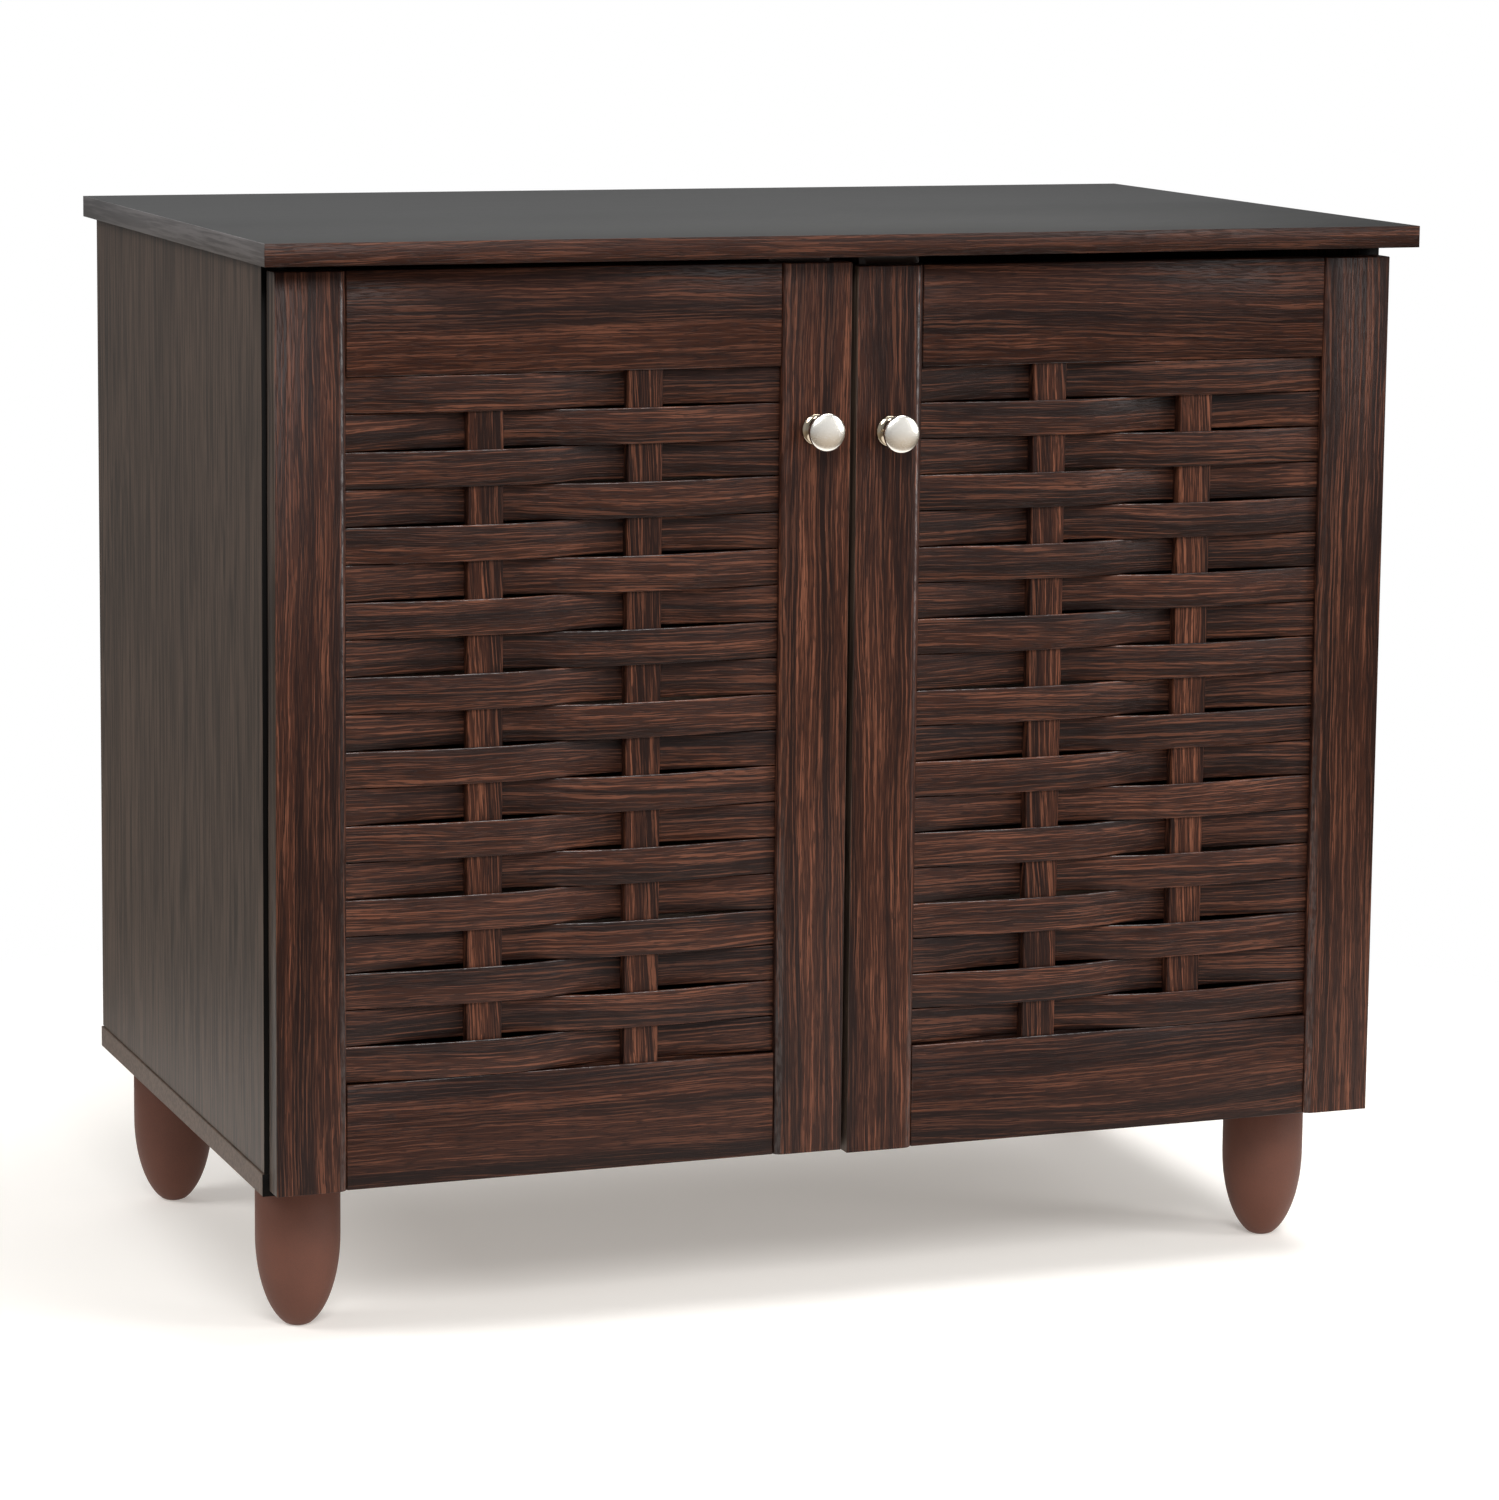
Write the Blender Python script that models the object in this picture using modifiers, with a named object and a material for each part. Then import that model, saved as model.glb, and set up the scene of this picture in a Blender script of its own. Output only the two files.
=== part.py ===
"""Two-door shoe cabinet on four turned feet, with woven-slat door panels.

Metres, +Z up, +X to the right and +Y to the back. The origin is on the floor, at the
middle of the cabinet's outer box. The doors are shown closed.
"""

import math

import bmesh
import bpy
from mathutils import Matrix

# --- Driving dimensions -------------------------------------------------------------

FIT_GAP = 0.0003  # between pieces that touch

CARCASS_WIDTH = 0.796  # over the outer faces of the side panels
CARCASS_DEPTH = 0.450  # side panels and bottom panel, front to back
SIDE_HEIGHT = 0.594
SIDE_THICKNESS = 0.015
BOTTOM_THICKNESS = 0.015
BOTTOM_EDGE_LIP = 0.0012  # the bottom panel stands out past the side panels
TOP_THICKNESS = 0.015
TOP_SIDE_OVERHANG = 0.009
TOP_FRONT_OVERHANG = 0.042
BACK_THICKNESS = 0.003
BACK_INSET = 0.003  # back panel's edge to the side panel's outer face
PANEL_BEVEL = 0.0008

SHELF_NAMES = ("lower", "middle", "upper")
SHELF_THICKNESS = 0.015
SHELF_FRONT_SETBACK = 0.012
SHELF_BACK_CLEARANCE = 0.002
SHELF_END_CLEARANCE = 0.001
PIN_RADIUS = 0.0025
PIN_LENGTH = 0.018
PIN_HOLE_DEPTH = 0.0095
PIN_HOLE_CLEARANCE = 0.0003
PIN_INSET = 0.050  # pin centre to the shelf's front and back edges

FOOT_HEIGHT = 0.106
FOOT_RADIUS = 0.0285
FOOT_FLAT_RADIUS = 0.007
FOOT_TAPER_HEIGHT = 0.064
FOOT_SIDE_INSET = 0.040  # foot centre to the side panel's outer face
FOOT_FRONT_INSET = 0.063
FOOT_BACK_INSET = 0.050
FOOT_BOLT_RADIUS = 0.004
FOOT_BOLT_HEAD_RADIUS = 0.009
FOOT_BOLT_HEAD_HEIGHT = 0.0035
FOOT_BOLT_REACH = 0.032  # into the foot
FOOT_BOLT_CLEARANCE = 0.0004

DOOR_THICKNESS = 0.018
DOOR_BACK_GAP = 0.0035  # door to the carcass's front edges
DOOR_SIDE_REVEAL = 0.0025  # door's hinge edge to the side panel's outer face
DOOR_CENTRE_GAP = 0.004
DOOR_TOP_GAP = 0.0045  # to the top panel
DOOR_BOTTOM_REVEAL = 0.0045  # door's lower edge above the bottom panel's underside
RIGHT_DOOR_DROP = 0.0027  # the right door hangs this much lower
STILE_ROUND_WIDTH = 0.007  # rounded edge towards the woven panel
STILE_ROUND_DEPTH = 0.0045
RAIL_RECESS = 0.003  # rail face behind the stile face
TOP_RAIL_HEIGHT = 0.068
BOTTOM_RAIL_HEIGHT = 0.070
PANEL_GROOVE_DEPTH = 0.007
SLAT_GROOVE_CLEARANCE = 0.001  # on each face of a slat's end

SLAT_ROWS = 19
SLAT_THICKNESS = 0.0026
SLAT_ROW_GAP = 0.0008
STRIP_WIDTH = 0.024
STRIP_THICKNESS = 0.0088
STRIP_SPACING = 0.109
WEAVE_OVERLAP = 0.00015  # slats and strips press into each other where they cross
PLATEAU_MARGIN = 0.002  # a slat runs straight this far past each side of a strip
WEAVE_SETBACK = 0.0093  # strip's mid-plane behind the stile's face

KNOB_EDGE_INSET = 0.0245
KNOB_TOP_INSET = 0.110  # knob centre below the door's upper edge
KNOB_PROJECTION = 0.023
KNOB_DOME_HEIGHT = 0.0028
KNOB_CAP_EDGE = 0.0022  # the cap's straight side
KNOB_RIM_ROUND = 0.0006
KNOB_FLANGE_EDGE = 0.0016
KNOB_WAIST_POWER = 0.6  # below 1 the neck stays slim for longer
KNOB_CAP_RADIUS = 0.0125
KNOB_FLANGE_RADIUS = 0.0103
KNOB_NECK_RADIUS = 0.0052
KNOB_SCREW_RADIUS = 0.002
KNOB_SCREW_REACH = 0.011
KNOB_SCREW_HEAD_RADIUS = 0.0042
KNOB_SCREW_HEAD_HEIGHT = 0.0022
KNOB_SCREW_CLEARANCE = 0.0003

HINGE_AXIS_INSET = 0.0082  # from the door's hinge edge
HINGE_AXIS_DEPTH = 0.0095  # in front of the door's back face
HINGE_END_DISTANCE = 0.092  # hinge centre to the door's upper or lower edge
CUP_RADIUS = 0.0172
CUP_EDGE_DISTANCE = 0.0038  # cup's bore to the door's hinge edge
CUP_GROOVE_WALL = 0.0028  # cup's bore to the slats' groove
CUP_DEPTH = 0.0132
CUP_WALL = 0.001
CUP_FLANGE_LIP = 0.0011  # flange past the cup all round
CUP_FLANGE_THICKNESS = 0.0012
CUP_EAR_REACH = 0.0118  # screw ears past the cup, up and down
CUP_EAR_WIDTH = 0.016
HINGE_PIN_RADIUS = 0.0012
HINGE_EYE_RADIUS = 0.0023
HINGE_PIN_CLEARANCE = 0.0003
NECK_THICKNESS = 0.0024
NECK_WIDTH = 0.009
NECK_BEND_RADIUS = 0.0065
NECK_CUP_CLEARANCE = 0.0036  # neck's middle line to the cup's wall
ARM_LENGTH = 0.058
ARM_HEIGHT = 0.0075  # off the side panel
ARM_WIDTH = 0.015
ARM_FRONT_SETBACK = 0.006
PLATE_LENGTH = 0.034
PLATE_WIDTH = 0.050
PLATE_THICKNESS = 0.0022
PLATE_BACK_SETBACK = 0.012  # plate's back end in front of the arm's

CATCH_LENGTH = 0.044
CATCH_DEPTH = 0.014
CATCH_HEIGHT = 0.015
CATCH_CENTRE_INSET = 0.030  # catch and strike centre to the door's free edge
STRIKE_WIDTH = 0.034
STRIKE_HEIGHT = 0.012
STRIKE_THICKNESS = 0.0012
STRIKE_TOP_INSET = 0.0065

ROUND_STEPS = 20
SMALL_ROUND_STEPS = 12
FOOT_ARC_STEPS = 6
STILE_ARC_STEPS = 5
DOME_ARC_STEPS = 4
KNOB_NECK_STEPS = 6
NECK_ARC_STEPS = 4
SCREW_HEAD_ARC_STEPS = 3
SLAT_INNER_STATIONS = 2  # from a slat's middle to the near side of a strip
SLAT_OUTER_STATIONS = 3  # from a strip's far side to the slat's end

# --- Places worked out from them ----------------------------------------------------

SIDES = {"left": -1, "right": 1}

BOTTOM_Z = FOOT_HEIGHT
SIDE_Z = BOTTOM_Z + BOTTOM_THICKNESS
TOP_Z = SIDE_Z + SIDE_HEIGHT
FRONT_REACH = max(DOOR_BACK_GAP + DOOR_THICKNESS + KNOB_PROJECTION, TOP_FRONT_OVERHANG)
FRONT_Y = (FRONT_REACH - CARCASS_DEPTH - BACK_THICKNESS) / 2
BACK_Y = FRONT_Y + CARCASS_DEPTH
INNER_WIDTH = CARCASS_WIDTH - 2 * SIDE_THICKNESS

DOOR_WIDTH = (CARCASS_WIDTH - 2 * DOOR_SIDE_REVEAL - DOOR_CENTRE_GAP) / 2
DOOR_HEIGHT = TOP_Z - DOOR_TOP_GAP - BOTTOM_Z - DOOR_BOTTOM_REVEAL
CUP_CENTRE_INSET = CUP_EDGE_DISTANCE + CUP_RADIUS
STILE_WIDTH = CUP_CENTRE_INSET + CUP_RADIUS + CUP_GROOVE_WALL + PANEL_GROOVE_DEPTH
DOOR_BACK_Y = FRONT_Y - DOOR_BACK_GAP
DOOR_FRONT_Y = DOOR_BACK_Y - DOOR_THICKNESS
RAIL_FRONT_Y = DOOR_FRONT_Y + RAIL_RECESS
WEAVE_Y = DOOR_FRONT_Y + WEAVE_SETBACK
HINGE_AXIS_Y = DOOR_BACK_Y - HINGE_AXIS_DEPTH
OPENING_WIDTH = DOOR_WIDTH - 2 * STILE_WIDTH
OPENING_HEIGHT = DOOR_HEIGHT - TOP_RAIL_HEIGHT - BOTTOM_RAIL_HEIGHT
SLAT_PITCH = OPENING_HEIGHT / SLAT_ROWS
WAVE_HEIGHT = (SLAT_THICKNESS + STRIP_THICKNESS) / 2 - WEAVE_OVERLAP
SLAT_GROOVE_WIDTH = SLAT_THICKNESS + 2 * SLAT_GROOVE_CLEARANCE
STRIP_GROOVE_WIDTH = STRIP_THICKNESS + 2 * FIT_GAP


def door_x(side, inset):
    """World x of a point that far from a door's hinge edge."""
    return side * (CARCASS_WIDTH / 2 - DOOR_SIDE_REVEAL - inset)


def door_z(side):
    """World z of a door's lower edge."""
    drop = RIGHT_DOOR_DROP if side > 0 else 0.0
    return TOP_Z - DOOR_TOP_GAP - DOOR_HEIGHT - drop


# --- Materials and collections ------------------------------------------------------


def make_material(name, colour, roughness, metallic=0.0):
    material = bpy.data.materials.new(name)
    material.use_nodes = True
    shader = material.node_tree.nodes["Principled BSDF"]
    shader.inputs["Base Color"].default_value = (*colour, 1.0)
    shader.inputs["Roughness"].default_value = roughness
    shader.inputs["Metallic"].default_value = metallic
    material.diffuse_color = (*colour, 1.0)
    return material


def clear_scene():
    for obj in list(bpy.data.objects):
        bpy.data.objects.remove(obj, do_unlink=True)


clear_scene()
CABINET = bpy.data.collections.new("shoe_cabinet")
CUTTERS = bpy.data.collections.new("cutters")
for collection in (CABINET, CUTTERS):
    bpy.context.scene.collection.children.link(collection)

TOP_FINISH = make_material("top_foil", (0.060, 0.050, 0.046), 0.30)
SIDE_FINISH = make_material("side_foil", (0.085, 0.066, 0.056), 0.45)
DOOR_WOOD = make_material("door_wood", (0.052, 0.024, 0.018), 0.42)
WEAVE_WOOD = make_material("weave_wood", (0.058, 0.026, 0.019), 0.45)
INSIDE_FINISH = make_material("inside_foil", (0.075, 0.052, 0.043), 0.5)
BACK_BOARD = make_material("back_board", (0.11, 0.075, 0.055), 0.7)
FOOT_PLASTIC = make_material("foot_plastic", (0.130, 0.060, 0.042), 0.5)
SATIN_NICKEL = make_material("satin_nickel", (0.78, 0.76, 0.72), 0.22, 1.0)
HINGE_STEEL = make_material("hinge_steel", (0.62, 0.62, 0.62), 0.3, 1.0)
CATCH_PLASTIC = make_material("catch_plastic", (0.12, 0.075, 0.05), 0.5)


# --- Shape helpers ------------------------------------------------------------------


def add_object(name, mesh, location, material):
    mesh.materials.append(material)
    obj = bpy.data.objects.new(name, mesh)
    obj.location = location
    CABINET.objects.link(obj)
    return obj


def add_bevel(obj, width):
    bevel = obj.modifiers.new("edges", "BEVEL")
    bevel.width = width
    bevel.segments = 1
    bevel.limit_method = "ANGLE"


def add_box(name, size, centre, material, bevel=0.0):
    """A box of that size, with its edges bevelled where a bevel is given."""
    mesh = bpy.data.meshes.new(name)
    shape = bmesh.new()
    bmesh.ops.create_cube(shape, size=1.0)
    bmesh.ops.scale(shape, vec=size, verts=shape.verts)
    shape.to_mesh(mesh)
    shape.free()
    obj = add_object(name, mesh, centre, material)
    if bevel:
        add_bevel(obj, bevel)
    return obj


def add_turned(name, profile, location, material, steps, rotation=(0, 0, 0)):
    """A turned solid: profile is (radius, height) from the top of the outer side down."""
    mesh = bpy.data.meshes.new(name)
    points = [(radius, 0.0, height) for radius, height in profile]
    edges = [(i, i + 1) for i in range(len(points) - 1)]
    mesh.from_pydata(points, edges, [])
    obj = add_object(name, mesh, location, material)
    obj.rotation_euler = rotation
    screw = obj.modifiers.new("turn", "SCREW")
    screw.axis = "Z"
    screw.steps = screw.render_steps = steps
    screw.use_merge_vertices = True
    screw.merge_threshold = 0.00001
    screw.use_smooth_shade = True
    return obj


def add_cylinder(name, radius, length, centre, material, steps, rotation=(0, 0, 0)):
    """A round rod with its ends chamfered by a tenth of its radius."""
    chamfer = radius / 10
    half = length / 2
    profile = [
        (0.0, half),
        (radius - chamfer, half),
        (radius, half - chamfer),
        (radius, chamfer - half),
        (radius - chamfer, -half),
        (0.0, -half),
    ]
    return add_turned(name, profile, centre, material, steps, rotation)


def add_hole(name, radius, length, centre, steps, rotation=(0, 0, 0)):
    """A plain round cutter."""
    mesh = bpy.data.meshes.new(name)
    shape = bmesh.new()
    bmesh.ops.create_cone(
        shape, cap_ends=True, segments=steps, radius1=radius, radius2=radius, depth=length
    )
    shape.to_mesh(mesh)
    shape.free()
    obj = add_object(name, mesh, centre, HINGE_STEEL)
    obj.rotation_euler = rotation
    return obj


def add_extrusion(name, outline, height, centre_z, material):
    """A closed plan outline, extruded upwards."""
    curve = bpy.data.curves.new(name, "CURVE")
    curve.dimensions = "2D"
    curve.fill_mode = "BOTH"
    curve.extrude = height / 2
    spline = curve.splines.new("POLY")
    spline.points.add(len(outline) - 1)
    for point, (x, y) in zip(spline.points, outline):
        point.co = (x, y, 0.0, 1.0)
    spline.use_cyclic_u = True
    flat = bpy.data.objects.new(name + "_outline", curve)
    bpy.context.scene.collection.objects.link(flat)
    graph = bpy.context.evaluated_depsgraph_get()
    mesh = bpy.data.meshes.new_from_object(flat.evaluated_get(graph))
    bpy.data.objects.remove(flat, do_unlink=True)
    shape = bmesh.new()
    shape.from_mesh(mesh)
    bmesh.ops.remove_doubles(shape, verts=shape.verts, dist=0.00001)
    bmesh.ops.recalc_face_normals(shape, faces=shape.faces)
    shape.to_mesh(mesh)
    shape.free()
    mesh.name = name
    return add_object(name, mesh, (0, 0, centre_z), material)


def hide_cutter(cutter):
    for collection in list(cutter.users_collection):
        collection.objects.unlink(cutter)
    CUTTERS.objects.link(cutter)
    cutter.hide_render = True
    cutter.display_type = "WIRE"
    return cutter


def combine(obj, cutter, operation="DIFFERENCE"):
    """Cuts the cutter from the object, or joins it on."""
    boolean = obj.modifiers.new(cutter.name, "BOOLEAN")
    boolean.operation = operation
    boolean.solver = "EXACT"
    boolean.object = hide_cutter(cutter)


def apply_place(obj, pivot):
    """Hangs the object on an empty, without moving it."""
    obj.location = [a - b for a, b in zip(obj.location, pivot.location)]
    obj.parent = pivot


def ellipse_arc(centre, radii, start, end, steps):
    """Points along an ellipse's arc, angles in degrees."""
    points = []
    for i in range(steps + 1):
        angle = math.radians(start + (end - start) * i / steps)
        points.append((centre[0] + radii[0] * math.cos(angle), centre[1] + radii[1] * math.sin(angle)))
    return points


# --- Carcass ------------------------------------------------------------------------


def shelf_zs():
    """Height of each shelf's underside: the shelves share the inside evenly."""
    count = len(SHELF_NAMES)
    clear = (SIDE_HEIGHT - count * SHELF_THICKNESS) / (count + 1)
    return [SIDE_Z + (i + 1) * clear + i * SHELF_THICKNESS for i in range(count)]


def shelf_span():
    """Front and back y of a shelf."""
    return FRONT_Y + SHELF_FRONT_SETBACK, BACK_Y - SHELF_BACK_CLEARANCE


def pin_places():
    """(name, y, z) of every shelf pin on one side."""
    front, back = shelf_span()
    places = []
    for name, shelf_z in zip(SHELF_NAMES, shelf_zs()):
        z = shelf_z - FIT_GAP - PIN_RADIUS
        places.append((f"{name}_front", front + PIN_INSET, z))
        places.append((f"{name}_back", back - PIN_INSET, z))
    return places


def foot_places():
    """(name, x, y) of every foot."""
    x = CARCASS_WIDTH / 2 - FOOT_SIDE_INSET
    rows = (("front", FRONT_Y + FOOT_FRONT_INSET), ("back", BACK_Y - FOOT_BACK_INSET))
    return [(f"{row}_{name}", side * x, y) for row, y in rows for name, side in SIDES.items()]


def make_top_panel():
    width = CARCASS_WIDTH + 2 * TOP_SIDE_OVERHANG
    front = FRONT_Y - TOP_FRONT_OVERHANG
    back = BACK_Y + BACK_THICKNESS
    centre = (0, (front + back) / 2, TOP_Z + FIT_GAP + (TOP_THICKNESS - FIT_GAP) / 2)
    size = (width, back - front, TOP_THICKNESS - FIT_GAP)
    add_box("top_panel", size, centre, TOP_FINISH, PANEL_BEVEL)


def make_side_panel(name, side):
    height = SIDE_HEIGHT - FIT_GAP
    x = side * (CARCASS_WIDTH - SIDE_THICKNESS) / 2
    centre = (x, FRONT_Y + CARCASS_DEPTH / 2, SIDE_Z + FIT_GAP + height / 2)
    size = (SIDE_THICKNESS, CARCASS_DEPTH, height)
    panel = add_box(f"side_panel_{name}", size, centre, SIDE_FINISH, PANEL_BEVEL / 2)
    inner_x = side * INNER_WIDTH / 2
    for place, y, z in pin_places():
        hole = add_hole(
            f"pin_hole_{name}_{place}",
            PIN_RADIUS + PIN_HOLE_CLEARANCE,
            2 * PIN_HOLE_DEPTH,
            (inner_x, y, z),
            SMALL_ROUND_STEPS,
            (0, math.pi / 2, 0),
        )
        combine(panel, hole)


def make_bottom_panel():
    width = CARCASS_WIDTH + 2 * BOTTOM_EDGE_LIP
    centre = (0, FRONT_Y + CARCASS_DEPTH / 2, BOTTOM_Z + BOTTOM_THICKNESS / 2)
    size = (width, CARCASS_DEPTH, BOTTOM_THICKNESS)
    panel = add_box("bottom_panel", size, centre, SIDE_FINISH, PANEL_BEVEL / 2)
    for place, x, y in foot_places():
        hole = add_hole(
            f"bolt_hole_{place}",
            FOOT_BOLT_RADIUS + FOOT_BOLT_CLEARANCE,
            3 * BOTTOM_THICKNESS,
            (x, y, BOTTOM_Z),
            ROUND_STEPS,
        )
        combine(panel, hole)


def make_back_panel():
    thickness = BACK_THICKNESS - FIT_GAP
    height = SIDE_HEIGHT + BOTTOM_THICKNESS - FIT_GAP
    width = CARCASS_WIDTH - 2 * BACK_INSET
    centre = (0, BACK_Y + FIT_GAP + thickness / 2, BOTTOM_Z + height / 2)
    add_box("back_panel", (width, thickness, height), centre, BACK_BOARD)


def make_shelves():
    front, back = shelf_span()
    width = INNER_WIDTH - 2 * SHELF_END_CLEARANCE
    for name, z in zip(SHELF_NAMES, shelf_zs()):
        centre = (0, (front + back) / 2, z + SHELF_THICKNESS / 2)
        size = (width, back - front, SHELF_THICKNESS)
        add_box(f"shelf_{name}", size, centre, INSIDE_FINISH, PANEL_BEVEL / 2)


def make_shelf_pins():
    for name, side in SIDES.items():
        hole_end = side * (INNER_WIDTH / 2 + PIN_HOLE_DEPTH - FIT_GAP)
        x = hole_end - side * PIN_LENGTH / 2
        for place, y, z in pin_places():
            add_cylinder(
                f"shelf_pin_{place}_{name}",
                PIN_RADIUS,
                PIN_LENGTH,
                (x, y, z),
                HINGE_STEEL,
                SMALL_ROUND_STEPS,
                (0, math.pi / 2, 0),
            )


def foot_profile():
    """Straight at the top, then a quarter ellipse cut off by the floor, with a bolt hole."""
    top = FOOT_HEIGHT - FIT_GAP
    bore = FOOT_BOLT_RADIUS + FOOT_BOLT_CLEARANCE
    bore_end = top - FOOT_BOLT_REACH - FOOT_BOLT_CLEARANCE
    ratio = FOOT_FLAT_RADIUS / FOOT_RADIUS
    cut = FOOT_TAPER_HEIGHT * (1 - math.sqrt(1 - ratio * ratio))
    start = math.acos(ratio)
    outer = []
    for i in range(FOOT_ARC_STEPS + 1):
        angle = start * i / FOOT_ARC_STEPS
        height = FOOT_TAPER_HEIGHT * (1 - math.sin(angle)) - cut
        outer.append((FOOT_RADIUS * math.cos(angle), height))
    inner = [(0.0, bore_end), (bore, bore_end), (bore, top)]
    rim = [(FOOT_RADIUS - PANEL_BEVEL, top), (FOOT_RADIUS, top - PANEL_BEVEL)]
    return [*inner, *rim, *outer, (0.0, 0.0)]


def make_feet():
    for place, x, y in foot_places():
        add_turned(f"foot_{place}", foot_profile(), (x, y, 0), FOOT_PLASTIC, ROUND_STEPS)


def make_foot_bolts():
    """Pan-head bolts that come down through the bottom panel into the feet."""
    seat = SIDE_Z + FIT_GAP
    end = BOTTOM_Z - FOOT_BOLT_REACH
    head = ellipse_arc((0, 0), (FOOT_BOLT_HEAD_RADIUS, FOOT_BOLT_HEAD_HEIGHT), 90, 0, SCREW_HEAD_ARC_STEPS)
    profile = [
        *head,
        (FOOT_BOLT_RADIUS, 0.0),
        (FOOT_BOLT_RADIUS, end - seat),
        (0.0, end - seat),
    ]
    for place, x, y in foot_places():
        add_turned(f"foot_bolt_{place}", profile, (x, y, seat), HINGE_STEEL, ROUND_STEPS)


# --- Doors --------------------------------------------------------------------------


def stile_outline(outer_inset, inner_inset, side):
    """Plan section of a stile: its front edge towards the panel is rounded, and grooved for the slats."""
    inward = 1 if inner_inset > outer_inset else -1
    groove_bottom = inner_inset - inward * PANEL_GROOVE_DEPTH
    groove_front = WEAVE_Y - SLAT_GROOVE_WIDTH / 2
    groove_back = WEAVE_Y + SLAT_GROOVE_WIDTH / 2
    round_centre = (inner_inset - inward * STILE_ROUND_WIDTH, DOOR_FRONT_Y + STILE_ROUND_DEPTH)
    round_radii = (inward * STILE_ROUND_WIDTH, STILE_ROUND_DEPTH)
    rounded = ellipse_arc(round_centre, round_radii, -90, 0, STILE_ARC_STEPS)
    edge = inward * PANEL_BEVEL
    points = [
        (outer_inset, DOOR_BACK_Y),
        (outer_inset, DOOR_FRONT_Y + PANEL_BEVEL),
        (outer_inset + edge, DOOR_FRONT_Y),
        *rounded,
        (inner_inset, groove_front),
        (groove_bottom, groove_front),
        (groove_bottom, groove_back),
        (inner_inset, groove_back),
        (inner_inset, DOOR_BACK_Y),
    ]
    return [(door_x(side, inset), y) for inset, y in points]


def knob_z(side):
    return door_z(side) + DOOR_HEIGHT - KNOB_TOP_INSET


def hinge_zs(side):
    base = door_z(side)
    return {"lower": base + HINGE_END_DISTANCE, "upper": base + DOOR_HEIGHT - HINGE_END_DISTANCE}


def make_stiles(name, side, pivot):
    z = door_z(side) + DOOR_HEIGHT / 2
    outline = stile_outline(0.0, STILE_WIDTH, side)
    hinge_stile = add_extrusion(f"{name}_door_stile_hinge", outline, DOOR_HEIGHT, z, DOOR_WOOD)
    for place, hinge_z in hinge_zs(side).items():
        bore = add_hole(
            f"cup_bore_{name}_{place}",
            CUP_RADIUS + FIT_GAP,
            2 * (CUP_DEPTH + FIT_GAP),
            (door_x(side, CUP_CENTRE_INSET), DOOR_BACK_Y, hinge_z),
            ROUND_STEPS,
            (math.pi / 2, 0, 0),
        )
        combine(hinge_stile, bore)
    outline = stile_outline(DOOR_WIDTH, DOOR_WIDTH - STILE_WIDTH, side)
    knob_stile = add_extrusion(f"{name}_door_stile_knob", outline, DOOR_HEIGHT, z, DOOR_WOOD)
    knob_hole = add_hole(
        f"knob_hole_{name}",
        KNOB_SCREW_RADIUS + KNOB_SCREW_CLEARANCE,
        3 * DOOR_THICKNESS,
        (door_x(side, DOOR_WIDTH - KNOB_EDGE_INSET), DOOR_BACK_Y, knob_z(side)),
        SMALL_ROUND_STEPS,
        (math.pi / 2, 0, 0),
    )
    combine(knob_stile, knob_hole)
    for stile in (hinge_stile, knob_stile):
        apply_place(stile, pivot)


def make_rails(name, side, pivot):
    """Rails between the stiles, each with a groove for the ends of the upright strips."""
    length = OPENING_WIDTH - 2 * FIT_GAP
    depth = DOOR_BACK_Y - RAIL_FRONT_Y
    x = door_x(side, DOOR_WIDTH / 2)
    y = (DOOR_BACK_Y + RAIL_FRONT_Y) / 2
    base = door_z(side)
    upper = base + DOOR_HEIGHT
    edges = {"bottom": (base, base + BOTTOM_RAIL_HEIGHT), "top": (upper, upper - TOP_RAIL_HEIGHT)}
    for place, (outer_z, inner_z) in edges.items():
        size = (length, depth, abs(inner_z - outer_z))
        centre = (x, y, (outer_z + inner_z) / 2)
        rail = add_box(f"{name}_door_rail_{place}", size, centre, DOOR_WOOD, PANEL_BEVEL)
        groove_size = (2 * length, STRIP_GROOVE_WIDTH, 2 * PANEL_GROOVE_DEPTH)
        groove = add_box(f"rail_groove_{name}_{place}", groove_size, (x, WEAVE_Y, inner_z), DOOR_WOOD)
        combine(rail, groove)
        apply_place(rail, pivot)


def wave(x, half_length):
    """Share of the full wave at x: one crossing on each side of the middle, level over each strip."""
    crossing = STRIP_SPACING / 2
    plateau = STRIP_WIDTH / 2 + PLATEAU_MARGIN
    distance = abs(x)
    if distance < crossing - plateau:
        share = math.sin(math.pi / 2 * distance / (crossing - plateau))
    elif distance <= crossing + plateau:
        share = 1.0
    else:
        run = (distance - crossing - plateau) / (half_length - crossing - plateau)
        share = (1 + math.cos(math.pi * run)) / 2
    return math.copysign(share, x)


def slat_stations(half_length):
    """Places along a slat where its outline has a point."""
    crossing = STRIP_SPACING / 2
    plateau = STRIP_WIDTH / 2 + PLATEAU_MARGIN
    inner, outer = crossing - plateau, crossing + plateau
    half = [inner * (i + 1) / SLAT_INNER_STATIONS for i in range(SLAT_INNER_STATIONS)]
    half += [outer + (half_length - outer) * i / SLAT_OUTER_STATIONS for i in range(SLAT_OUTER_STATIONS + 1)]
    return [-x for x in reversed(half)] + half


def slat_outline(side, direction):
    """Plan outline of a slat that passes in front of one strip and behind the other."""
    half_length = OPENING_WIDTH / 2 + PANEL_GROOVE_DEPTH - FIT_GAP
    centre_x = door_x(side, DOOR_WIDTH / 2)
    middle = []
    for x in slat_stations(half_length):
        y = WEAVE_Y + direction * WAVE_HEIGHT * wave(x, half_length)
        middle.append((centre_x + x, y))
    front = [(x, y - SLAT_THICKNESS / 2) for x, y in middle]
    back = [(x, y + SLAT_THICKNESS / 2) for x, y in reversed(middle)]
    return front + back


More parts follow.
